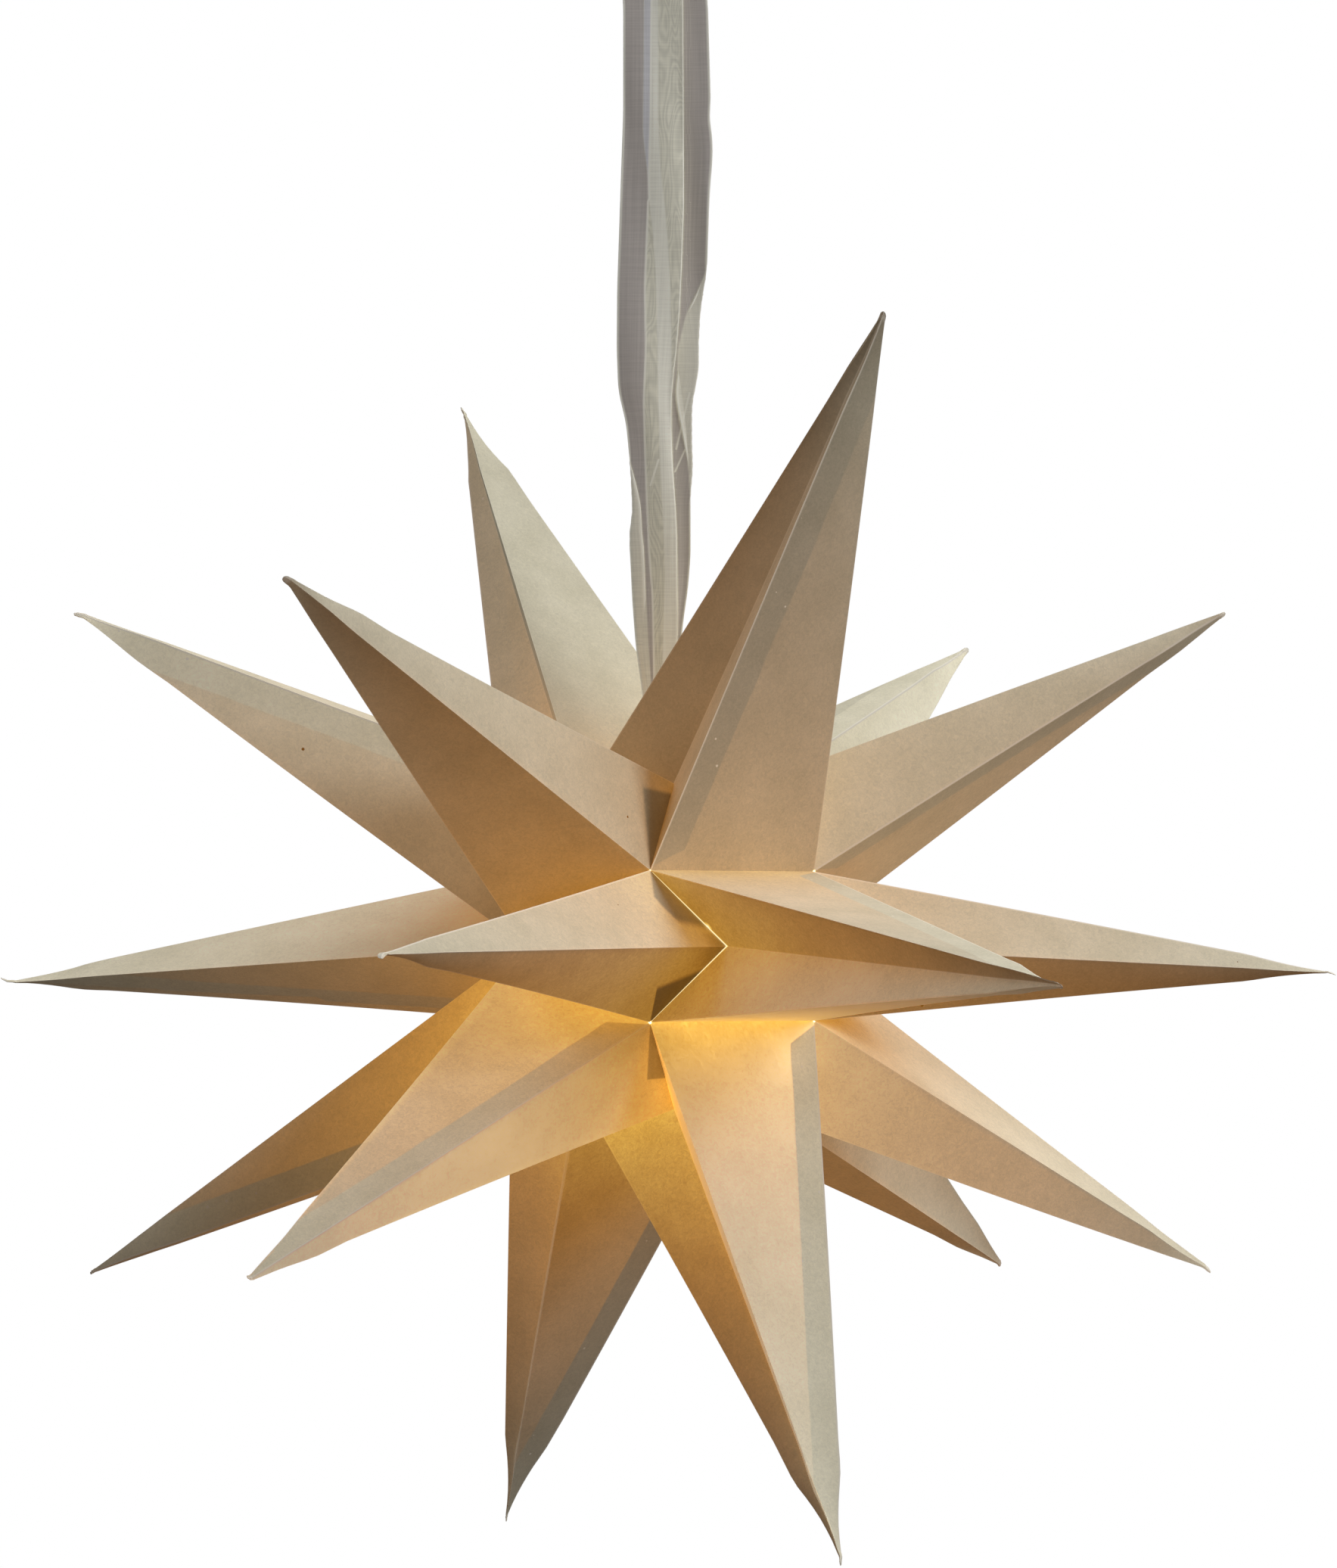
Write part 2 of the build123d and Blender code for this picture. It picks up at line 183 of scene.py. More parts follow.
# Light that comes through the card, painted on it as its own glow: for each spike its strength at the base
# and how fast it falls towards the tip, in the order of the leans. The spikes below the lamp get most of it.
lamplight = {
    "spikes": [
        [(0.63, 0.95), (0.65, 1.35), (0.44, 0.9)],
        [(0.37, 1.0), (0.31, 1.0), (0.21, 0.0)],
        [(0.18, -0.4), (0.54, 6.5), (0.0, 3.0)],
        [(0.29, 1.8), (0.36, 2.0), (0.36, 2.0)],
        [(0.60, 1.3), (0.66, 1.9), (0.27, -0.2)],
        [(0.71, 0.15), (0.82, 1.75), (0.55, 0.65)],
    ],
    "roomWay": (0.62, -0.10, 0.78),    # card that faces the bright side of the room seems less lit inside
    "roomFall": 1.3,
    "tipFade": 0.35,         # share that is lost at the tips besides
    "tipStart": 0.55,        # where that begins, and how far it takes, as shares of the spike's length
    "tipRun": 0.4,
}


def glowOf(leaf, side, normals, depth):
    # Glow falls along the spike as e to the minus depth times fall, faster where the card faces the room
    # light. Near the tip a smooth step takes off a further share.
    strength, fall = lamplight["spikes"][leaf][1 - side]
    lit = np.clip(normals @ np.array(lamplight["roomWay"]), 0, 1)
    tipShare = np.clip((depth - lamplight["tipStart"]) / lamplight["tipRun"], 0, 1)
    tipFade = 1 - lamplight["tipFade"] * tipShare ** 2 * (3 - 2 * tipShare)
    return strength * tipFade * np.exp(-depth * (fall + lamplight["roomFall"] * lit))


# Kraft card of 0.4 mm: short pale and brown fibres, cloudy where the pulp lies thick, dull. Lit from behind
# it glows amber, painted as the card's own glow; a glued flap behind it keeps the light back, so the flap
# shows as a greyer band of painted shade.
card = {
    "pale": "#DAD4BE",
    "deep": "#D1CBB4",
    "speck": "#6B4A2A",
    # pale colour of cut edges and bare pulp, also of the painted highlight on the folds
    "rawEdgeAndHighlight": "#EBE5D6",
    "glowLow": "#FFA129",
    "glowMiddle": "#FFA931",
    "glowHigh": "#FFD05C",
    "lampWhite": "#FFEFC6",  # bare lamplight in a gap
    "glowStrength": 0.59,
    "cloudSize": 24.0,       # mm
    "fibreSize": 1.6,        # mm, drawn coarser than the real 0.5 mm to show
    "fibreShade": (0.91, 1.07),
    "fibreHeight": 0.05,     # mm
    "speckSpacing": 16.0,    # mm
    "speckSize": 0.045,      # share of the spacing
    "flapWidth": 13.0,       # mm
    "flapSoft": 0.4,         # mm, half of a flap's soft edge
    "flapWander": 1.6,       # mm, how far the edge of hand-glued card wanders
    "tabShadowKeep": 0.74,         # share of the light that a tab's painted shadow keeps back
    "tabPaintedShadow": -0.28,        # painted shadow on a tab in plain light: this much paler, below zero darker
    "rawWidth": 0.6,         # mm
    "foldWearAndHighlight": 0.4,            # how pale the folds are: wear with a painted highlight
    "foldWearAndHighlightWidth": 0.5,       # mm
    "bareTip": 6.5,          # mm of glue and bare pulp at the very tip
    "bareRagged": 4.0,       # mm
    "glueSpacing": 6.0,      # mm
    "glueSize": 0.11,        # share of the spacing
    "leastSeam": 0.05,       # mm, below which a seam counts as shut
    "seamLight": 1.9,
    "tornRadius": 4.0,       # mm
    "pinholeLight": 2.2,
    "tornShare": 0.245,      # place of the torn notch along the open seam of leaf 1
}


# Gaps between the leaves' corners: place and radius.
pinholes = [
    (rim(0, -1), 0.9 * mm), (rim(5, 1), 1.0 * mm), (rim(5, -1), 0.9 * mm), (rim(0, 1), 0.4 * mm)]
torn = crease(0, 1) * (1 - card["tornShare"]) + rim(0, 1) * card["tornShare"]


def makeCard():
    material, tree, shader = newMaterial("kraftCard")
    coords = addNode(tree, "ShaderNodeTexCoord", out="Object")
    clouds = addNode(tree, "ShaderNodeTexNoise", {
        "Vector": coords, "Scale": 1 / (card["cloudSize"] * mm), "Detail": 5.0, "Roughness": 0.6})
    fibres = addNode(tree, "ShaderNodeTexNoise", {
        "Vector": coords, "Scale": 1 / (card["fibreSize"] * mm), "Detail": 2.0, "Roughness": 0.7,
        "Distortion": 1.2})
    # the spikes' fields, see cornerFields
    fold, flap, tabShadowAndTip = [
        addNode(tree, "ShaderNodeAttribute", out="Vector", attribute_name=name)
        for name in ("fold", "flap", "tabShadowAndTip")]
    startGap, endGap, baseGap, flapGap, flapEnd, rawGap, tabShadowEdge, tabShadowEnd, tipGap = [
        addNode(tree, "ShaderNodeSeparateXYZ", {0: field}, out=part)
        for field in (fold, flap, tabShadowAndTip) for part in "XYZ"]
    light, warmth, shade, tone, keep, flapPale, seamWidth = [
        addNode(tree, "ShaderNodeAttribute", out="Fac", attribute_name=name)
        for name in ("glow", "warmth", "shade", "tone", "keep", "flapPale", "seam")]

    # where a flap lies behind the card, and where a painted shadow shaped like a tab falls along a base edge
    wander = addNode(tree, "ShaderNodeMath", {
        0: clouds, 1: card["flapWander"], 2: -card["flapWander"] / 2}, operation="MULTIPLY_ADD")
    flapAt = addNode(tree, "ShaderNodeMath", {0: flapGap, 1: wander}, operation="ADD")
    inFlap = addNode(tree, "ShaderNodeMapRange", {
        "Value": flapAt, "From Min": card["flapWidth"] - card["flapSoft"],
        "From Max": card["flapWidth"] + card["flapSoft"], "To Min": 1.0, "To Max": 0.0},
        interpolation_type="SMOOTHSTEP")
    pastEnd, inTabShadow, inTabShadowEnds = [
        addNode(tree, "ShaderNodeMapRange", {"Value": inside, "From Min": -soft, "From Max": soft},
                interpolation_type="SMOOTHSTEP")
        for inside, soft in ((flapEnd, card["flapSoft"]), (tabShadowEdge, 1.0), (tabShadowEnd, 1.0))]
    flapMask = addNode(tree, "ShaderNodeMath", {0: inFlap, 1: pastEnd}, operation="MULTIPLY")
    tabShadowMask = addNode(tree, "ShaderNodeMath", {0: inTabShadow, 1: inTabShadowEnds}, operation="MULTIPLY")

    # colour in plain light
    pulp = addNode(tree, "ShaderNodeMapRange", {"Value": clouds, "From Min": 0.35, "From Max": 0.65})
    ground = addNode(tree, "ShaderNodeMix", {
        "Factor": pulp, 6: linear(card["pale"]), 7: linear(card["deep"])}, out=2, data_type="RGBA")
    fibreShade = addNode(tree, "ShaderNodeMapRange", {
        "Value": fibres, "From Min": 0.3, "From Max": 0.7,
        "To Min": card["fibreShade"][0], "To Max": card["fibreShade"][1]})
    fibred = addNode(tree, "ShaderNodeVectorMath", {0: ground, 3: fibreShade}, operation="SCALE")
    speckCell = addNode(tree, "ShaderNodeTexVoronoi", {
        "Vector": coords, "Scale": 1 / (card["speckSpacing"] * mm)}, out="Distance")
    speckLuck = addNode(tree, "ShaderNodeTexNoise", {
        "Vector": coords, "Scale": 1 / (2.2 * card["speckSpacing"] * mm), "Detail": 0.0})
    speckSize = addNode(tree, "ShaderNodeMapRange", {
        "Value": speckLuck, "From Min": 0.55, "From Max": 0.75, "To Min": 0.0, "To Max": card["speckSize"]})
    speck = addNode(tree, "ShaderNodeMath", {0: speckCell, 1: speckSize}, operation="LESS_THAN")
    speckled = addNode(tree, "ShaderNodeMix", {
        "Factor": speck, 6: fibred, 7: linear(card["speck"])}, out=2, data_type="RGBA")
    # painted light and shade by face and near the base (tone), the flap's look, and a tab's painted shadow
    flapTone = addNode(tree, "ShaderNodeMath", {0: flapMask, 1: flapPale, 2: 1.0}, operation="MULTIPLY_ADD")
    whiter = addNode(tree, "ShaderNodeMath", {
        0: tabShadowMask, 1: card["tabPaintedShadow"], 2: flapTone}, operation="MULTIPLY_ADD")
    backing = addNode(tree, "ShaderNodeMath", {0: tone, 1: whiter}, operation="MULTIPLY")
    backed = addNode(tree, "ShaderNodeVectorMath", {0: speckled, 3: backing}, operation="SCALE")
    # pale lines: the cut edge along a flap's fold, and wear with a painted highlight on every other fold
    rawMask = addNode(tree, "ShaderNodeMapRange", {
        "Value": rawGap, "From Min": card["rawWidth"] * 0.6, "From Max": card["rawWidth"] * 1.6,
        "To Min": 1.0, "To Max": 0.0})
    foldGap = addNode(tree, "ShaderNodeMath", {0: startGap, 1: endGap}, operation="MINIMUM")
    wornAndLitFolds = addNode(tree, "ShaderNodeMapRange", {
        "Value": foldGap, "From Min": card["foldWearAndHighlightWidth"] * 0.3, "From Max": card["foldWearAndHighlightWidth"],
        "To Min": card["foldWearAndHighlight"], "To Max": 0.0})
    # glue and bare pulp at the very tip, and specks of dried glue on the flaps
    ragged = addNode(tree, "ShaderNodeMath", {
        0: fibres, 1: card["bareRagged"], 2: tipGap}, operation="MULTIPLY_ADD")
    bareTip = addNode(tree, "ShaderNodeMapRange", {
        "Value": ragged, "From Min": card["bareRagged"], "From Max": card["bareTip"],
        "To Min": 0.9, "To Max": 0.0})
    glueCell = addNode(tree, "ShaderNodeTexVoronoi", {
        "Vector": coords, "Scale": 1 / (card["glueSpacing"] * mm)}, out="Distance")
    glueSize = addNode(tree, "ShaderNodeMapRange", {
        "Value": speckLuck, "From Min": 0.52, "From Max": 0.62, "To Min": 0.0, "To Max": card["glueSize"]})
    glueDot = addNode(tree, "ShaderNodeMath", {0: glueCell, 1: glueSize}, operation="LESS_THAN")
    glue = addNode(tree, "ShaderNodeMath", {0: glueDot, 1: flapMask}, operation="MULTIPLY")
    bareAndHighlight = rawMask
    for share in (wornAndLitFolds, bareTip, glue):
        bareAndHighlight = addNode(tree, "ShaderNodeMath", {0: bareAndHighlight, 1: share}, operation="MAXIMUM")
    colour = addNode(tree, "ShaderNodeMix", {
        "Factor": bareAndHighlight, 6: backed, 7: linear(card["rawEdgeAndHighlight"])}, out=2, data_type="RGBA")

    # light that comes through the card, painted as its glow
    flapTaken = addNode(tree, "ShaderNodeMath", {0: flapMask, 1: keep}, operation="MULTIPLY")
    tabShadowTaken = addNode(tree, "ShaderNodeMath", {0: tabShadowMask, 1: card["tabShadowKeep"]}, operation="MULTIPLY")
    taken = addNode(tree, "ShaderNodeMath", {0: flapTaken, 1: tabShadowTaken}, operation="MAXIMUM")
    keptBack = addNode(tree, "ShaderNodeMath", {0: 1.0, 1: taken}, operation="SUBTRACT")
    patchy = addNode(tree, "ShaderNodeMapRange", {
        "Value": clouds, "From Min": 0.3, "From Max": 0.7, "To Min": 1.08, "To Max": 0.92})
    grainy = addNode(tree, "ShaderNodeMapRange", {
        "Value": fibres, "From Min": 0.3, "From Max": 0.7, "To Min": 0.85, "To Max": 1.15})
    through = addNode(tree, "ShaderNodeMath", {0: light, 1: warmth}, operation="ADD")
    for share in (shade, keptBack, patchy, grainy):
        through = addNode(tree, "ShaderNodeMath", {0: through, 1: share}, operation="MULTIPLY")
    # an open seam lets bare light out as far in from the base as it gapes, and so does a torn notch beside it
    gaping = addNode(tree, "ShaderNodeMath", {0: seamWidth, 1: card["leastSeam"]}, operation="MAXIMUM")
    acrossSeam = addNode(tree, "ShaderNodeMath", {0: baseGap, 1: gaping}, operation="DIVIDE")
    seamLight = addNode(tree, "ShaderNodeMapRange", {
        "Value": acrossSeam, "From Min": 0.5, "From Max": 1.5, "To Min": card["seamLight"], "To Max": 0.0})
    fromTorn = addNode(tree, "ShaderNodeVectorMath", {
        0: coords, 1: tuple(torn)}, out="Value", operation="DISTANCE")
    tornLight = addNode(tree, "ShaderNodeMapRange", {
        "Value": fromTorn, "From Min": 0.2 * card["tornRadius"] * mm, "From Max": card["tornRadius"] * mm,
        "To Min": card["seamLight"], "To Max": 0.0})
    gapLight = addNode(tree, "ShaderNodeMath", {0: seamLight, 1: tornLight}, operation="MAXIMUM")
    isOpen = addNode(tree, "ShaderNodeMath", {0: seamWidth, 1: card["leastSeam"]}, operation="GREATER_THAN")
    hole = addNode(tree, "ShaderNodeMath", {0: gapLight, 1: isOpen}, operation="MULTIPLY")
    # pinholes where the corners of the leaves meet: bare light through a gap
    for place, radius in pinholes:
        gap = addNode(tree, "ShaderNodeVectorMath", {
            0: coords, 1: tuple(place)}, out="Value", operation="DISTANCE")
        spot = addNode(tree, "ShaderNodeMapRange", {
            "Value": gap, "From Min": radius * 0.6, "From Max": radius * 1.2,
            "To Min": card["pinholeLight"], "To Max": 0.0})
        hole = addNode(tree, "ShaderNodeMath", {0: hole, 1: spot}, operation="MAXIMUM")
    allLight = addNode(tree, "ShaderNodeMath", {0: through, 1: hole}, operation="MAXIMUM")
    strength = addNode(tree, "ShaderNodeMath", {
        0: allLight, 1: card["glowStrength"]}, operation="MULTIPLY")
    # the stronger the light, the yellower, and bare light is nearly white
    warm, bright, laidOpen = [
        addNode(tree, "ShaderNodeMapRange", {"Value": amount, "From Min": low, "From Max": high})
        for amount, low, high in ((light, 0.2, 0.6), (allLight, 0.4, 0.95), (hole, 1.2, 2.0))]
    lampColour = linear(card["glowLow"])
    for share, name in ((warm, "glowMiddle"), (bright, "glowHigh"), (laidOpen, "lampWhite")):
        lampColour = addNode(tree, "ShaderNodeMix", {
            "Factor": share, 6: lampColour, 7: linear(card[name])}, out=2, data_type="RGBA")

    tooth = addNode(tree, "ShaderNodeBump", {
        "Height": fibres, "Strength": 0.12, "Distance": card["fibreHeight"] * mm}, out="Normal")
    setSockets(
        tree, shader, Base_Color=colour, Roughness=0.85, Specular_IOR_Level=0.06, Normal=tooth,
        Emission_Color=lampColour, Emission_Strength=strength)
    return material


spike = {
    "card": 0.4 * mm,
    "cardShare": 0.3,        # of the room inside, the most that the card takes up near the tip
    "nibLength": (3 * mm, 7 * mm),    # the end is pinched flat and glued
    "nibEase": 1.8,          # how fast the rows close up towards the end
    "nibTaper": 0.2,
    "nibBlunt": 8,           # the higher, the blunter
    "overrun": 3.5 * mm,     # the folds aim past the blunt end
    "pinchLength": 40 * mm,
    "pinchFlat": 0.7,
    "nibBend": 0.5,          # sideways, against the nib's length
    "nibCrinkle": 0.25 * mm,
    "kinkPlace": (22 * mm, 45 * mm),    # from the end: the folds give a little where fingers pinched them
    "kinkReach": 18 * mm,
    "kinkSize": (-0.5 * mm, 1.2 * mm),
    "coneRows": 44,
    "nibRows": 7,
    "faceColumns": 10,
    "bulge": 1.3 * mm,       # faces of thin card swell or sink a little
    "bow": 0.9 * mm,         # folds run a little off the straight line
    "flapStart": 2.0,        # mm from the base corner
    "flapSlant": 48.0,       # degrees of the flap's cut end
    "notch": 10 * mm,        # depth of the notches at the top seam, where the ribbon goes in
    "notchReach": 30 * mm,
    "far": 1000.0,           # mm, a gap that counts as none
    "seed": 100,
}
sideNames = {1: "left", 0: "middle", -1: "right"}
# Glue flaps as they show: by leaf and side, the face and the corner whose fold they lie along.
flaps = {
    (1, 0): (3, 4), (0, 0): (0, 1), (5, 0): (0, 1), (1, -1): (3, 3), (5, 1): (0, 1), (4, 1): (0, 1),
    (4, 0): (0, 1), (3, 1): (0, 1), (2, 0): (5, 0), (2, 1): (3, 3), (2, -1): (2, 3), (0, 1): (0, 1),
    (0, -1): (0, 1), (1, 1): (0, 1), (3, 0): (3, 3), (3, -1): (3, 3), (4, -1): (2, 3), (5, -1): (3, 3),
}
notchFaces = {(1, 0): 0, (2, 0): 3}
flapInsets = {(3, 1): 4.5}    # mm, a flap that was glued clear of its fold
widestFlap = 99.0    # mm, wider than any flap or painted tab shadow
# Share of the light that a flap keeps back, and how much paler it is in plain light, below zero darker:
# partly the double card's own paler look, partly painted light and shade set by spike.
plainFlap = (0.65, 0.15)
flapLooks = {
    (1, 0): (0.4, -0.08), (1, -1): (0.5, -0.03), (2, 0): (0.1, 0.0),
    (4, 1): (0.8, 0.2), (5, 0): (0.95, -0.08),
}
# Faces that get more or less light from inside than the rest of their spike: glow added by face.
warmFaces = {(2, 0): {5: 0.13}, (1, 0): {5: -0.03}}
# Painted shadows along a base edge, where the neighbouring spike shades the card, shaped like glued tabs:
# from which corner of the face, how steeply they widen, length in mm, slope of the cut end, softness of the
# outline and of the end in mm, greatest width in mm.
tabShadows = {
    (1, 1): {2: ("end", 0.5, 42.0, 0.5, 1.5, 1.5, widestFlap)},
    (0, 1): {
        1: ("start", 1.26, 36.4, 0.5, 1.5, 3.5, 17.0),
        2: ("end", 1.25, 33.0, 0.79, 0.7, 3.0, widestFlap)},
    (5, 1): {1: ("start", 0.4, 30.5, 0.6, 0.6, 0.6, widestFlap)},
}
# Open seams: by face, the corner where the seam gapes most, and how wide it is at both ends in mm.
seams = {(0, 0): {4: ("end", 0.25, 0.95), 5: ("start", 0.25, 1.3)}}
# Painted light and shade, tone by face: a factor on the card's colour that makes a face lighter where it
# catches the room light and darker where it stands in the shade.
paintedFaceShading = {
    (0, 1): {1: 0.95, 2: 0.45}, (0, 0): {0: 0.84, 3: 1.6, 4: 1.2, 5: 0.58}, (0, -1): {2: 0.47},
    (1, 1): {2: 1.02, 3: 0.67}, (1, 0): {3: 0.73, 4: 0.62, 5: 0.68}, (1, -1): {2: 1.15, 3: 0.88},
    (2, 1): {3: 1.25}, (2, 0): {3: 1.0, 5: 1.1}, (2, -1): {2: 0.96, 3: 1.47},
    (3, 1): {0: 1.2, 3: 1.41}, (4, 1): {0: 1.02}, (4, 0): {0: 0.75, 4: 1.04}, (4, -1): {0: 0.98, 1: 1.02},
    (5, 1): {0: 1.0, 1: 1.4}, (5, 0): {0: 1.36, 4: 0.75, 5: 5.0}, (5, -1): {0: 1.06, 1: 1.06},
}
# Faces deep between their neighbours are darker towards the base: share taken off there, and its reach in mm.
baseShades = {
    (0, 1): {2: (0.15, 25)}, (0, 0): {4: (0.18, 25), 5: (0.1, 25)}, (1, 1): {2: (0.25, 30)},
    (1, 0): {5: (0.22, 30)}, (2, 1): {3: (0.45, 50)}, (3, 1): {0: (0.25, 80)}, (5, 1): {1: (0.35, 28)},
    (5, 0): {5: (0.45, 400)},
}
# Base corners that lie in the dark behind a seam: which corner, share taken off there, and its reach in mm.
cornerShades = {(0, 1): {1: ("end", 0.6, 12.0), 2: ("start", 0.5, 18.0)}}


def cornerFields(leaf, side, loop, tip, along, scale, toTip):
    # Distances in the plane of each face, in mm: from its two folds and from its base edge. A face is a
    # triangle, so they follow from the place across the face and the scale of the row.
    onward = np.roll(loop, -1, axis=0)
    width = np.linalg.norm(onward - loop, axis=1)
    edge = unit(onward - loop)
    startFold = unit(tip - loop)
    endFold = unit(tip - onward)
    startLength = np.linalg.norm(tip - loop, axis=1)
    endLength = np.linalg.norm(tip - onward, axis=1)
    startCos = (edge * startFold).sum(axis=1)
    endCos = -(edge * endFold).sum(axis=1)
    startSin = np.sqrt(1 - startCos ** 2)
    endSin = np.sqrt(1 - endCos ** 2)
    face = np.arange(len(loop))[None, :, None, None]
    scale = np.broadcast_to(scale, along.shape)
    spread = along * scale * width[face]
    rest = (1 - along) * scale * width[face]
    fromStart = spread * startSin[face] / mm
    fromEnd = rest * endSin[face] / mm
    fromBase = (1 - scale) * startLength[face] * startSin[face] / mm
    startRun = ((1 - scale) * startLength[face] + spread * startCos[face]) / mm
    endRun = ((1 - scale) * endLength[face] + rest * endCos[face]) / mm
    none = np.full(fromStart.shape, spike["far"])

    flapFace, rawFold = flaps[leaf, side]
    atStart = rawFold == flapFace
    inset = flapInsets.get((leaf, side), 0.0)
    flapGap = np.where(face == flapFace, (fromStart if atStart else fromEnd) - inset, none)
    flapGap = np.where(flapGap < 0, none, flapGap)
    flapRun = startRun if atStart else endRun
    slant = np.radians(spike["flapSlant"])
    flapReach = np.minimum(flapGap, widestFlap)
    flapEnd = (flapRun - spike["flapStart"]) * np.sin(slant) - flapReach * np.cos(slant)
    rawGap = np.where(face == rawFold, fromStart, none)
    rawGap = np.where((face + 1) % len(loop) == rawFold, fromEnd, rawGap)

    tabShadowEdge = -none
    tabShadowEnd = -none
    edgeRun = ((1 - scale) * startLength[face] * startCos[face] + spread) / mm
    runs = {"start": edgeRun, "end": width[face] / mm - edgeRun}
    for shadowFace, (corner, slope, length, cut, soft, endSoft, widest) in tabShadows.get((leaf, side), {}).items():
        run = runs[corner]
        tabShadowEdge = np.where(face == shadowFace, (np.minimum(slope * run, widest) - fromBase) / soft, tabShadowEdge)
        tabShadowEnd = np.where(face == shadowFace, (length - run - cut * fromBase) / endSoft, tabShadowEnd)
    # painted light and shade: the tone by face, times the painted shade near the base and in dark corners
    tone = np.ones(fromStart.shape)
    for shadedFace, share in paintedFaceShading.get((leaf, side), {}).items():
        tone = np.where(face == shadedFace, share, tone)
    shade = np.ones(fromStart.shape)
    for shadeFace, (taken, reach) in baseShades.get((leaf, side), {}).items():
        shade = np.where(face == shadeFace, 1 - taken * np.exp(-fromBase / reach), shade)
    for shadeFace, (corner, taken, reach) in cornerShades.get((leaf, side), {}).items():
        away = np.hypot(runs[corner], fromBase) / reach
        shade = np.where(face == shadeFace, shade * (1 - taken * np.exp(-away ** 2)), shade)
    warmth = np.zeros(fromStart.shape)
    for warmFace, extra in warmFaces.get((leaf, side), {}).items():
        warmth = np.where(face == warmFace, extra, warmth)
    seam = np.zeros(fromStart.shape)
    for seamFace, (corner, least, most) in seams.get((leaf, side), {}).items():
        gaping = 1 - along if corner == "start" else along
        seam = np.where(face == seamFace, least + (most - least) * gaping, seam)
    keep, flapPale = flapLooks.get((leaf, side), plainFlap)
    return {
        "fold": np.stack([fromStart, fromEnd, fromBase], axis=-1),
        "flap": np.stack([flapGap, flapEnd, rawGap], axis=-1),
        "tabShadowAndTip": np.stack([tabShadowEdge, tabShadowEnd, np.broadcast_to(toTip / mm, along.shape)], axis=-1),
        "seam": seam,
        "tone": tone * shade,
        "shade": shade,
        "warmth": warmth,
        "keep": np.full(fromStart.shape, keep),
        "flapPale": np.full(fromStart.shape, flapPale),
    }


def joinCorners(size, *corners):  # one value for each corner of each face
    return np.concatenate([np.broadcast_to(corner, size) for corner in corners], 3)


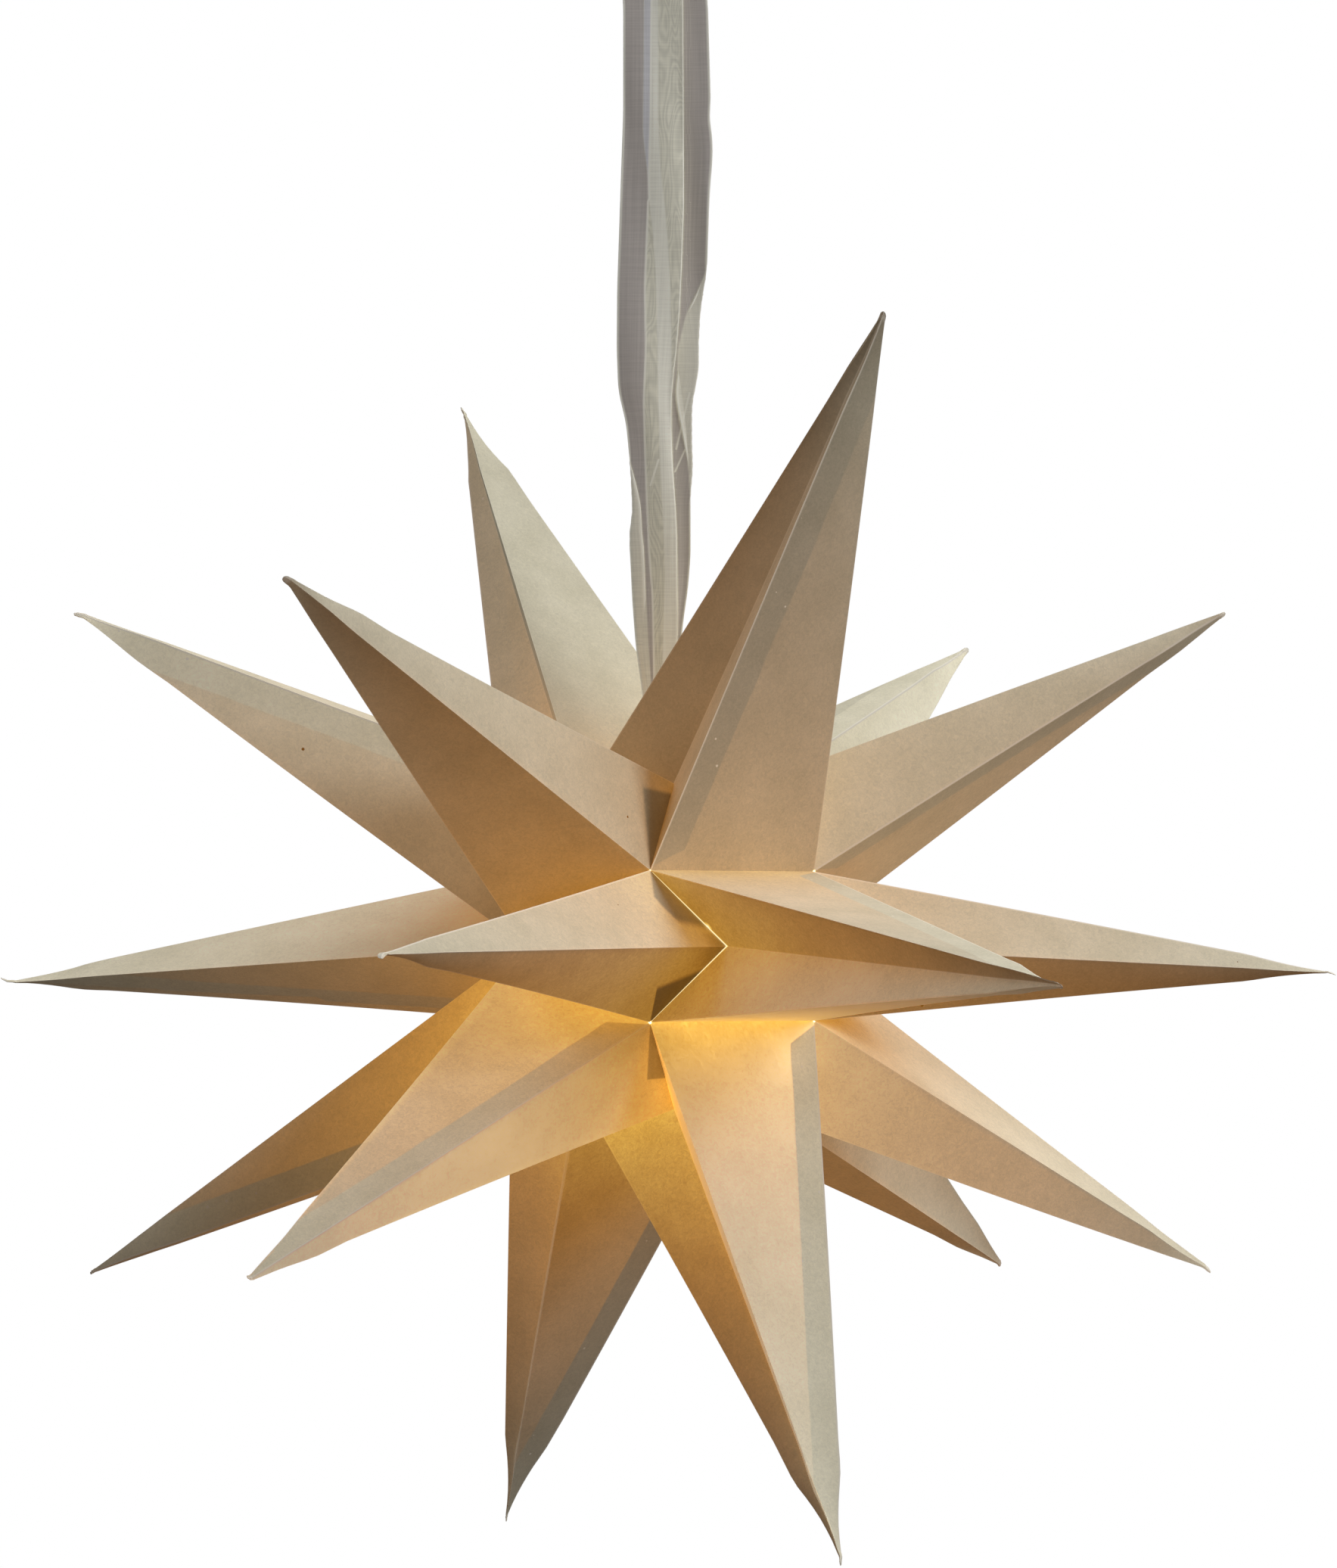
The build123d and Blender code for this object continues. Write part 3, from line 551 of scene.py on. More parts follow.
def makeSpike(leaf, side, material):
    random = np.random.default_rng(spike["seed"] + len(sideNames) * leaf + side)
    loop = baseLoop(leaf, side)
    tip = spikeTip(leaf, side)
    count = len(loop)
    columns = spike["faceColumns"]
    middle = loop.mean(axis=0)
    axis = unit(tip - middle)
    length = np.linalg.norm(tip - middle)
    nibLength = random.uniform(*spike["nibLength"])
    apex = tip + axis * spike["overrun"]
    share = (nibLength + spike["overrun"]) / (length + spike["overrun"])
    onward = np.roll(loop, -1, axis=0)
    across = (np.arange(columns) / columns)[None, :, None]
    base = (loop[:, None] * (1 - across) + onward[:, None] * across).reshape(-1, 3)
    turning = (np.cross(loop - middle, onward - middle) @ axis).sum()
    hand = 1.0 if turning > 0 else -1.0
    faceNormal = hand * unit(np.cross(onward - loop, tip - loop))

    # Cone rows: the base loop drawn in towards the apex.
    draw = np.linspace(0, 1 - share, spike["coneRows"])[:, None, None]
    cone = base * (1 - draw) + apex * draw
    # Nib rows: the last section, hardly narrower until its blunt end.
    closing = 1 - (1 - np.linspace(0, 1, spike["nibRows"] + 2)[1:-1, None, None]) ** spike["nibEase"]
    narrow = (1 - spike["nibTaper"] * closing) * np.sqrt(1 - closing ** spike["nibBlunt"])
    nib = tip - axis * nibLength * (1 - closing) + share * narrow * (base - middle)
    points = np.concatenate([cone, nib])
    rows = len(points)
    coneToTip = (1 - draw) * (length + spike["overrun"]) - spike["overrun"]
    toTip = np.concatenate([coneToTip.ravel(), nibLength * (1 - closing.ravel())])
    # Pinch: towards the end the sections are pressed flat on the seam, and the nib bends and crinkles.
    seam = loop[flaps[leaf, side][1]] - middle
    flat = unit(seam - axis * (seam @ axis))
    pressing = spike["pinchFlat"] * np.clip(1 - toTip / spike["pinchLength"], 0, 1)[:, None]
    points = points - flat * (((points - tip) @ flat) * pressing)[..., None]
    bendTurn = random.uniform(0, 2 * np.pi)
    bendWay = flat * np.cos(bendTurn) + np.cross(flat, axis) * np.sin(bendTurn)
    bend = bendWay * random.uniform(0, spike["nibBend"]) * nibLength
    inNib = np.clip(1 - toTip / nibLength, 0, 1)[:, None, None]
    crinkle = flat * random.uniform(-1, 1, (rows, 1, 1)) * spike["nibCrinkle"]
    points = points + bend * inNib ** 2 + crinkle * (inNib > 0)
    tip = tip + bend

    # Faces swell or sink between their folds, folds bow a little, and neither moves at the base or the tip.
    depth = np.concatenate([draw.ravel(), np.full(rows - len(cone), 1.0)])
    swell = random.uniform(-1, 1, count) * spike["bulge"]
    bow = random.uniform(-1, 1, count)[:, None] * spike["bow"] * unit(loop - middle)
    fade = np.sin(np.pi * np.clip(depth / (1 - share), 0, 1))[:, None, None]
    crown = (4 * across * (1 - across) * swell[:, None, None] * faceNormal[:, None]).reshape(-1, 3)
    drift = (bow[:, None] * (1 - across) + np.roll(bow, -1, axis=0)[:, None] * across).reshape(-1, 3)
    points = points + fade * (crown + drift)
    # Kinks: each fold stands out or in by a triangle along its length, shared out across the faces.
    kinkAt = random.uniform(*spike["kinkPlace"], count)
    kinkSize = random.uniform(*spike["kinkSize"], count)
    kink = np.clip(1 - np.abs(toTip[:, None] - kinkAt) / spike["kinkReach"], 0, 1) * kinkSize
    kink = kink[..., None] * unit(loop - middle)
    kink = kink[:, :, None] * (1 - across) + np.roll(kink, -1, axis=1)[:, :, None] * across
    points = points + kink.reshape(points.shape)
    # Notch: the middle column slides towards the tip, by the notch's depth at the base, less and less
    # along its reach.
    if (leaf, side) in notchFaces:
        column = notchFaces[leaf, side] * columns + columns // 2
        along = np.linalg.norm(points[:, column] - points[0, column], axis=1, keepdims=True)
        slide = spike["notch"] * np.clip(1 - along / spike["notchReach"], 0, 1)
        points[:, column] += unit(tip - points[0, column]) * slide

    # Inner side of the card, one thickness along the normals, and less in the nib.
    ring = np.concatenate([points[:, -1:], points, points[:, :1]], axis=1)
    normals = hand * unit(np.cross(ring[:, 2:] - ring[:, :-2], np.gradient(points, axis=0)))
    room = np.abs(((points - points.mean(axis=1, keepdims=True)) * normals).sum(axis=2, keepdims=True))
    inner = points - normals * np.minimum(spike["card"], spike["cardShare"] * room)
    lining = tip - axis * spike["card"]
    total = rows * count * columns
    vertices = np.concatenate([points.reshape(-1, 3), tip[None], inner.reshape(-1, 3), lining[None]])

    grid = np.arange(total).reshape(rows, count * columns)
    onto = np.roll(grid, -1, axis=1)
    quads = np.stack([grid[:-1], onto[:-1], onto[1:], grid[1:]], axis=-1).reshape(-1, 4)
    fan = np.stack([grid[-1], onto[-1], np.full(count * columns, total)], axis=-1)
    back = total + 1
    hem = np.stack([grid[0] + back, onto[0] + back, onto[0], grid[0]], axis=-1)
    if hand < 0:
        quads, fan, hem = quads[:, ::-1], fan[:, ::-1], hem[:, ::-1]
    faces = quads.tolist() + fan.tolist()
    faces += (quads[:, ::-1] + back).tolist() + (fan[:, ::-1] + back).tolist() + hem.tolist()
    piece = addPiece(f"leaf{leaf + 1}{sideNames[side].title()}Spike", vertices, faces, material)

    # Fields at the faces' corners, in the same order as the faces.
    left = (np.arange(columns) / columns)[None, None, :, None]
    right = left + 1 / columns
    shrink = np.concatenate([1 - draw.ravel(), share * narrow.ravel()])
    low = shrink[:-1, None, None, None]
    high = shrink[1:, None, None, None]
    near, far = toTip[:-1, None, None, None], toTip[1:, None, None, None]
    size, rowSize = (rows - 1, count, columns, 1), (1, count, columns, 1)
    quadFields = cornerFields(
        leaf, side, loop, tip, joinCorners(size, left, right, right, left),
        joinCorners(size, low, low, high, high), joinCorners(size, near, near, far, far))
    topScale = np.array([shrink[-1], shrink[-1], 0.0])
    topGap = np.array([toTip[-1], toTip[-1], 0.0])
    fanFields = cornerFields(
        leaf, side, loop, tip, joinCorners(rowSize, left, right, (left + right) / 2), topScale, topGap)
    hemFields = cornerFields(
        leaf, side, loop, tip, joinCorners(rowSize, left, right, right, left), np.ones(4), np.full(4, length))
    for name in quadFields:
        parts = [fields[name] for fields in (quadFields, fanFields, hemFields)]
        tail = parts[0].shape[4:]
        outer, top, edge = [part.reshape(-1, corners, *tail) for part, corners in zip(parts, (4, 3, 4))]
        if hand < 0:
            outer, top, edge = outer[:, ::-1], top[:, ::-1], edge[:, ::-1]
        stack = [outer, top, outer[:, ::-1], top[:, ::-1], edge]
        flatList = np.concatenate([part.reshape(-1, *tail) for part in stack])
        addField(piece, name, flatList, "FLOAT_VECTOR" if tail else "FLOAT")
    glow = glowOf(leaf, side, normals, depth[:, None]).ravel()
    tipGlow = glow[-count * columns:].mean()
    addField(piece, "glow", np.concatenate([glow, [tipGlow], glow, [tipGlow]]), "FLOAT", "POINT")

    # Folds stay sharp, faces shade smoothly.
    mesh = piece.data
    ends = np.zeros(len(mesh.edges) * 2, int)
    mesh.edges.foreach_get("vertices", ends)
    ends = ends.reshape(-1, 2)
    column = np.where(ends % back == total, -1, (ends % back) % (count * columns))
    onFold = (column[:, 0] == column[:, 1]) & (column[:, 0] % columns == 0)
    onHem = ((ends % back) < count * columns).all(axis=1)
    sharp = mesh.attributes.new("sharp_edge", "BOOLEAN", "EDGE")
    sharp.data.foreach_set("value", onFold | onHem)

    standIn(piece, f"leaf_{leaf + 1}_{sideNames[side]}_spike")
    return piece


cardMaterial = makeCard()
spikes = [makeSpike(leaf, side, cardMaterial) for leaf in range(len(star["leans"])) for side in sideNames]
print("spikes made:", len(spikes))

# Ribbon of sheer organza: one strip, up in front, over the rod and down behind. All sizes are in mm, heights
# from the star's centre, places across from the middle. The edges of the strands follow a few points.
ribbon = {
    "width": 28.0,
    "thickness": 0.16,
    "rodHeight": 435.0,
    "loopRadius": 1.95,
    "bottom": 60.0,
    "rows": 220,
    "loopRows": 12,
    "columns": 44,
    # outer and inner edge of the front strand (left) and of the one behind (right): height, place across
    "frontOuter": [
        (60, -2.6), (72, -3), (100, -6.5), (115, -9), (136, -11.7), (156, -13.2), (171, -13.9), (185, -14.7),
        (196, -13.2), (211, -13.9), (226, -15.2), (236, -16.2), (244, -18.2), (251, -19.7), (269, -20.4),
        (296, -20.2), (326, -19.2), (356, -18.2), (376, -17.5), (426, -17.5), (435, -18.5)],
    "frontInner": [
        (60, 2.6), (72, 3), (100, 5), (120, 6.2), (141, 7.3), (186, 7.1), (201, 6.3), (216, 5.1), (231, 4.5),
        (244, 4.5), (256, 5.3), (266, 6.6), (286, 8.3), (306, 9.3), (321, 9.8), (336, 10.3), (435, 9.8)],
    "behindOuter": [
        (60, 2.6), (72, 3), (100, 5.6), (120, 7), (143, 9.3), (151, 10.3), (161, 11.8), (176, 13), (204, 13),
        (216, 14), (226, 13.6), (244, 13.6), (251, 14.8), (261, 16.8), (269, 16.5), (286, 17.3), (296, 18.8),
        (306, 20.5), (316, 20.8), (336, 21.5), (346, 22.1), (356, 23), (364, 23), (376, 21.5), (381, 22.2),
        (426, 20.9), (435, 20)],
    "behindInner": [
        (60, -2.6), (72, -3), (100, -3.2), (130, -3.6), (158, -4.2), (176, -5.7), (191, -6.4), (206, -7),
        (226, -7.7), (246, -8.2), (269, -7.2), (296, -7.7), (316, -7), (336, -6.2), (346, -6.2), (366, -8.5),
        (435, -8)],
    # how wide a strip is folded over at the outer edge
    "frontTurned": [(60, 6), (136, 6.5), (181, 6.5), (204, 4), (220, 0), (435, 0)],
    "behindTurned": [(60, 0), (200, 0), (226, 4), (251, 8), (269, 8), (286, 5.8), (306, 0), (435, 0)],
    # the pleat of the strand behind that shows through the front one as a paler band
    "pleatLeft": [
        (60, 0), (120, 0), (146, 0.8), (166, 1.3), (186, 0.8), (216, -0.7), (246, -1.7), (269, -1.9),
        (301, -2.7), (321, -3.9), (336, -5.7), (346, -5.9), (373, -5.2), (426, -4.7), (435, -4.7)],
    "pleatRight": [
        (60, 2), (100, 4), (141, 7.3), (166, 7.3), (186, 6.8), (216, 5.1), (246, 4.5), (269, 4.3), (296, 3.8),
        (316, 2.8), (336, 1.1), (351, -0.7), (373, -1.7), (435, -1.7)],
    # sharp creases above the knot, pale lines of doubled cloth with a painted highlight: strand, lower and
    # upper end
    "creases": [
        ("front", (206, -5.6), (220, -1.2)), ("behind", (224, 6.4), (251, 12.8)),
        ("behind", (213, 5.4), (226, 11.3))],
    "outerHem": 0.6,         # gaps are taken as this much less there: the outer hems catch the light
    "innerHem": 1.3,
    "innerHemGap": 0.3,
    "smoothing": 8.0,        # length that the edges' points are averaged over
    "hemRound": 0.3,
    "hemLift": 0.9,          # a folded strip stands off by this share of its width
    "hemLiftReach": 1.2,
    "leastTurned": 0.3,
    "bow": 2.2,
    "ripple": 0.7,
    "rippleLength": 21.0,    # for each radian
    "rippleSlant": 5.0,      # radians from edge to edge
    "rippleShift": 2.0,      # radians from strand to strand
    "freeRun": 60.0,         # below the rod, where bow and ripple set in
    "leastFree": 0.2,
    "neckHeight": 66.0,      # the strands lie close together at the neck and part over a run
    "neckRun": 60.0,
    "neckGap": 0.35,
    "gather": 1.3,           # pleats where the cloth is squeezed to less than a share of its width
    "gatherShare": 0.8,
    "gatherFolds": 5,
    "coolHeight": 340.0,     # above it, the strand behind shows through in a cooler tone
    "coolRun": 20.0,
    "seamTurn": 336.0,       # above it, the hem that shows through is the pleat's
    "far": 5.0,              # a gap at which a line or an edge no longer shows
}


def smoothPath(heights, name):  # points joined by straight runs, averaged to take off the kinks
    places, values = np.array(ribbon[name], float).T
    window = np.linspace(-0.5, 0.5, 9) * ribbon["smoothing"]
    return np.interp(heights[:, None] + window, places, values).mean(axis=1)[:, None]


def strandGrid(heights, front):
    # Across the strand the cloth lies at the distance from its turned-over hem, so it doubles back there.
    # It bows outwards, ripples along its length and is pleated where it is squeezed together.
    across = np.linspace(0, ribbon["width"], ribbon["columns"])[None]
    strand = "front" if front else "behind"
    outer = smoothPath(heights, strand + "Outer")
    inner = smoothPath(heights, strand + "Inner")
    turned = smoothPath(heights, strand + "Turned")
    squeeze = (inner - outer) / (ribbon["width"] - turned)
    gathered = np.abs(squeeze)
    reach = across if front else ribbon["width"] - across
    hemRound = ribbon["hemRound"]
    x = outer + (np.sqrt((reach - turned) ** 2 + hemRound ** 2) - hemRound) * squeeze
    free = np.clip((ribbon["rodHeight"] - heights) / ribbon["freeRun"], 0, 1)[:, None]
    free = free * np.clip(gathered, ribbon["leastFree"], 1)
    part = across / ribbon["width"]
    phase = heights[:, None] / ribbon["rippleLength"] + ribbon["rippleSlant"] * part
    out = ribbon["bow"] * 4 * part * (1 - part) * free
    out = out + ribbon["ripple"] * free * np.sin(phase + (0 if front else ribbon["rippleShift"]))
    out = out + ribbon["hemLift"] * np.clip(turned - reach, 0, ribbon["hemLiftReach"])
    neck = np.clip((heights[:, None] - ribbon["neckHeight"]) / ribbon["neckRun"], ribbon["neckGap"], 1)
    squeezed = np.clip(ribbon["gatherShare"] - gathered, 0, 1)
    pleat = ribbon["gather"] * squeezed * np.sin(ribbon["gatherFolds"] * np.pi * part)
    y = (neck * ribbon["loopRadius"] + np.maximum(out + pleat, 0)) * (-1 if front else 1)
    z = np.broadcast_to(heights[:, None], x.shape)
    return np.stack([x, y, z], axis=-1), outer, inner, turned * squeeze


# Organza: fine crisp threads far apart, so one layer lets the dark through, two are paler; woven hems.
organzaLook = {
    "single": "#C6BFBA",
    "paired": "#E6E3D3",
    "cool": "#DAD9DC",
    "pleat": "#F4F2E6",
    "turned": "#EBE8DB",
    "hem": "#FFFDF2",
    "edgeSoft": 0.4,         # mm, half of a layer's soft edge
    "coolSoft": 0.3,         # mm
    # patterns by their size across and along in mm, detail and distortion: the watered look where two layers
    # of threads cross, and the threads, drawn coarser than the real 0.2 mm to show
    "water": (8.3, 38.0, 1.0, 0.6),
    "weft": (20.0, 0.77, 3.0, 0.0),
    "warp": (0.9, 50.0, 2.0, 0.0),
    "waterRings": 70.0,
    "threadHeight": 0.1,     # mm
    "glow": 0.11,            # painted glow: the light that the thin cloth scatters forward, given as its own emission
}


def makeOrganza():
    material, tree, shader = newMaterial("sheerOrganza")
    strip = addNode(tree, "ShaderNodeUVMap", uv_map="strip")
    fields = [
        addNode(tree, "ShaderNodeAttribute", out="Vector", attribute_name=name)
        for name in ("layers", "pleats", "creases")]
    overlap, foldOver, hemGap, third, seamGap, shade, *creaseGaps = [
        addNode(tree, "ShaderNodeSeparateXYZ", {0: field}, out=part) for field in fields for part in "XYZ"]
    edgeSoft = organzaLook["edgeSoft"]
    two, turned, three, cool = [
        addNode(tree, "ShaderNodeMapRange", {"Value": inside, "From Min": -soft, "From Max": soft})
        for inside, soft in (
            (overlap, edgeSoft), (foldOver, edgeSoft), (third, edgeSoft), (shade, organzaLook["coolSoft"]))]
    # hems and creases are pale lines; along the creases partly a painted highlight
    asides = [addNode(tree, "ShaderNodeMath", {0: gap}, operation="ABSOLUTE") for gap in creaseGaps]
    hem = addNode(tree, "ShaderNodeMapRange", {
        "Value": hemGap, "From Min": 0.4, "From Max": 1.0, "To Min": 1.0, "To Max": 0.0})
    lines = [(seamGap, 0.25, 0.7, 0.75)] + [(aside, 0.2, 0.7, 0.7) for aside in asides]
    for gap, low, high, paleness in lines:
        line = addNode(tree, "ShaderNodeMapRange", {
            "Value": gap, "From Min": low, "From Max": high, "To Min": paleness, "To Max": 0.0})
        hem = addNode(tree, "ShaderNodeMath", {0: hem, 1: line}, operation="MAXIMUM")
    patterns = []
    for name in ("water", "weft", "warp"):
        wide, high, detail, distortion = organzaLook[name]
        scaled = addNode(tree, "ShaderNodeMapping", {"Vector": strip, "Scale": (1 / wide, 1 / high, 1.0)})
        patterns.append(addNode(tree, "ShaderNodeTexNoise", {
            "Vector": scaled, "Scale": 1.0, "Detail": detail, "Distortion": distortion}))
    water, weft, warp = patterns
    rings = addNode(tree, "ShaderNodeMath", {0: water, 1: organzaLook["waterRings"]}, operation="MULTIPLY")
    watered = addNode(tree, "ShaderNodeMath", {0: rings}, operation="SINE")
    bands = addNode(tree, "ShaderNodeMapRange", {
        "Value": watered, "From Min": -1.0, "From Max": 1.0, "To Min": 0.9, "To Max": 1.05})
    threads = addNode(tree, "ShaderNodeMath", {0: weft, 1: warp}, operation="ADD")
    threadShade = addNode(tree, "ShaderNodeMapRange", {
        "Value": threads, "From Min": 0.7, "From Max": 1.3, "To Min": 0.9, "To Max": 1.08})
    paired = addNode(tree, "ShaderNodeVectorMath", {
        0: linear(organzaLook["paired"])[:3], 3: bands}, operation="SCALE")
    cloth = linear(organzaLook["single"])
    for share, layer in (
            (two, paired), (cool, linear(organzaLook["cool"])), (three, linear(organzaLook["pleat"])),
            (turned, linear(organzaLook["turned"]))):
        cloth = addNode(tree, "ShaderNodeMix", {"Factor": share, 6: cloth, 7: layer}, out=2, data_type="RGBA")
    threaded = addNode(tree, "ShaderNodeVectorMath", {0: cloth, 3: threadShade}, operation="SCALE")
    hemmed = addNode(tree, "ShaderNodeMix", {
        "Factor": hem, 6: threaded, 7: linear(organzaLook["hem"])}, out=2, data_type="RGBA")
    tooth = addNode(tree, "ShaderNodeBump", {
        "Height": threads, "Strength": 0.25, "Distance": organzaLook["threadHeight"] * mm}, out="Normal")
    # the cloth also glows in its own colour: a painted glow for the light it scatters forward
    setSockets(
        tree, shader, Base_Color=hemmed, Roughness=0.6, Specular_IOR_Level=0.15, Alpha=0.97, Normal=tooth,
        Emission_Color=hemmed, Emission_Strength=organzaLook["glow"])
    return material


def signedBetween(x, one, other):  # how far inside two edges, below zero outside
    return np.minimum(x - np.minimum(one, other), np.maximum(one, other) - x)


def makeRibbon(material):
    rows = ribbon["rows"]
    up = np.linspace(ribbon["bottom"], ribbon["rodHeight"], rows)
    front, leftEdge, frontInner, frontTurned = strandGrid(up, True)
    behind, rightEdge, behindInner, behindTurned = strandGrid(up, False)
    # over the rod: half a turn, sliding from the front strand's place to the back one's
    turn = np.linspace(0, np.pi, ribbon["loopRows"] + 2)[1:-1, None]
    slide = turn / np.pi
    loopX = front[-1, :, 0] * (1 - slide) + behind[-1, :, 0] * slide
    loopY = -ribbon["loopRadius"] * np.cos(turn) + 0 * loopX
    loopZ = ribbon["rodHeight"] + ribbon["loopRadius"] * np.sin(turn) + 0 * loopX
    strip = np.concatenate([front, np.stack([loopX, loopY, loopZ], axis=-1), behind[::-1]])
    points = strip * mm + centre
    normals = unit(np.cross(np.gradient(points, axis=1), np.gradient(points, axis=0)))
    under = points - normals * ribbon["thickness"] * mm

    length, columns = points.shape[:2]
    grid = np.arange(length * columns).reshape(length, columns)
    quads = np.stack([grid[:-1, :-1], grid[:-1, 1:], grid[1:, 1:], grid[1:, :-1]], axis=-1).reshape(-1, 4)
    loop = np.concatenate([grid[0, :-1], grid[:-1, -1], grid[-1, :0:-1], grid[:0:-1, 0]])
    after = np.roll(loop, -1)
    back = length * columns
    hem = np.stack([loop + back, after + back, after, loop], axis=-1)
    faces = np.concatenate([quads, quads[:, ::-1] + back, hem])
    vertices = np.concatenate([points.reshape(-1, 3), under.reshape(-1, 3)])
    piece = addPiece("ribbonStrip", vertices, faces.tolist(), material)

    # Layers: how far inside the other strand, inside the turned hem, and from the nearer woven hem.
    frontX, behindX, heights = front[..., 0], behind[..., 0], up[:, None]
    far = np.full(loopX.shape, ribbon["far"])
    never = np.full(behindX.shape, ribbon["far"])
    behindFold = behindX - rightEdge - behindTurned
    behindFold = np.where(behindTurned < -ribbon["leastTurned"], behindFold, -never)
    across = np.broadcast_to(np.linspace(0, ribbon["width"], columns), (length, columns))
    opposite = ribbon["width"] - across
    frontHem = np.minimum(across * ribbon["outerHem"], opposite * ribbon["innerHem"] + ribbon["innerHemGap"])
    behindHem = np.minimum(opposite * ribbon["outerHem"], across * ribbon["innerHem"] + ribbon["innerHemGap"])
    overlap = np.concatenate([
        signedBetween(frontX, rightEdge, behindInner), far,
        signedBetween(behindX, leftEdge, frontInner)[::-1]])
    foldOver = np.concatenate([frontTurned - (frontX - leftEdge), -far, behindFold[::-1]])
    hemGap = np.concatenate([frontHem[:-rows], behindHem[-rows:]])

    # Pleats: how far inside the third layer, from the hem that shows through, and inside the cooler part.
    pleatLeft, pleatRight = smoothPath(up, "pleatLeft"), smoothPath(up, "pleatRight")
    third = np.concatenate([
        signedBetween(frontX, pleatLeft, pleatRight), -far,
        signedBetween(behindX, pleatLeft, pleatRight)[::-1]])
    shownHem = np.where(heights > ribbon["seamTurn"], pleatLeft, behindInner)
    seamGap = np.concatenate([np.abs(frontX - shownHem), far, never])
    coolUp = (heights - ribbon["coolHeight"]) / ribbon["coolRun"]
    cool = np.minimum(signedBetween(frontX, behindInner, pleatLeft), coolUp)
    shade = np.concatenate([cool, -far, -never])

    # Creases: how far to the side of a straight line. Above and below its ends and on the other strand, the
    # gap is made wider to the same side, until the line no longer shows.
    creases = []
    for strand, lower, upper in ribbon["creases"]:
        at = np.interp(up, *np.array([lower, upper], float).T)[:, None]
        beyond = (heights < lower[0]) | (heights > upper[0])
        gaps = {}
        for name, x in (("front", frontX), ("behind", behindX)):
            gap = x - at
            hidden = beyond | (name != strand)
            gaps[name] = gap + np.where(hidden, ribbon["far"], 0) * np.where(gap < 0, -1, 1)
        creases.append(np.concatenate([gaps["front"], far, gaps["behind"][::-1]]))
    fields = {"layers": (overlap, foldOver, hemGap), "pleats": (third, seamGap, shade), "creases": creases}
    for name, parts in fields.items():
        values = np.stack(parts, axis=-1).reshape(-1, 3)
        addField(piece, name, np.concatenate([values, values]), "FLOAT_VECTOR", "POINT")

    step = np.linalg.norm(np.diff(strip[:, columns // 2], axis=0), axis=1)
    run = np.concatenate([[0], np.cumsum(step)])
    flat = np.stack([across, np.broadcast_to(run[:, None], across.shape)], axis=-1).reshape(-1, 2)
    addStripMap(piece, np.concatenate([flat, flat]), faces)
    standIn(piece, "ribbon")
    return run[-1]


organza = makeOrganza()
ribbonLength = makeRibbon(organza)
print("ribbon made, mm long:", round(ribbonLength))

# Knot at the strip's ends: a tube along a trefoil, drawn tight under the disc.
knot = {
    "radius": 3.6,
    "lobe": 0.38,            # share of the radius that goes in and out
    "rise": 2.08,
    "tube": 2.1,
    "flatness": 0.75,        # height of the tube against its width
    "length": 130.0,
    "wrap": 2.0,             # cloth around the tube, for each radian
    "middle": 59.0,
    "steps": 96,
    "sides": 14,
    "layers": (2.0, -5.0, 5.0),
    "pleats": (-5.0, 5.0, -5.0),
    "creases": (5.0, 5.0, 5.0),
}


def makeKnot(material):
    # Trefoil: a circle that winds twice round the upright axis while it rises and falls three times.
    turn = np.linspace(0, 2 * np.pi, knot["steps"], endpoint=False)
    radius = knot["radius"] * (1 - knot["lobe"] + knot["lobe"] * np.cos(3 * turn))
    height = knot["middle"] + knot["rise"] * np.sin(3 * turn)
    path = np.stack([radius * np.cos(2 * turn), radius * np.sin(2 * turn), height], axis=-1)
    along = unit(np.roll(path, -1, axis=0) - np.roll(path, 1, axis=0))
    sideways = unit(np.cross(along, upAxis))
    upward = np.cross(sideways, along)
    ring = np.linspace(0, 2 * np.pi, knot["sides"], endpoint=False)[None, :, None]
    body = path[:, None] + knot["tube"] * (
        sideways[:, None] * np.cos(ring) + knot["flatness"] * upward[:, None] * np.sin(ring))
    grid = np.arange(body.shape[0] * body.shape[1]).reshape(body.shape[:2])
    ahead = np.roll(grid, -1, axis=0)
    quads = np.stack([
        ahead, np.roll(ahead, -1, axis=1), np.roll(grid, -1, axis=1), grid], axis=-1).reshape(-1, 4)
    piece = addPiece("ribbonKnot", body * mm + centre, quads.tolist(), material)
    for name in ("layers", "pleats", "creases"):
        addField(piece, name, np.tile(knot[name], (grid.size, 1)), "FLOAT_VECTOR", "POINT")
    run = np.broadcast_to(np.linspace(0, knot["length"], knot["steps"])[:, None], grid.shape)
    around = np.broadcast_to(ring[:, :, 0] * knot["wrap"], grid.shape)
    addStripMap(piece, np.stack([around, run], axis=-1).reshape(-1, 2), quads)
    standIn(piece, "ribbon_knot")


makeKnot(organza)
print("knot made")


# Finishes of the hanger and the lamp, which keep the solids' own shapes. Sizes are in mm.
steelLook = {
    "dark": "#A7A8A9",
    "light": "#CFCFCD",
    "brushLength": 33.0,
    "brushWidth": 1.1,
    "spangle": 6.0,
    "roughness": (0.28, 0.45),
    "brushDepth": 0.05,
}


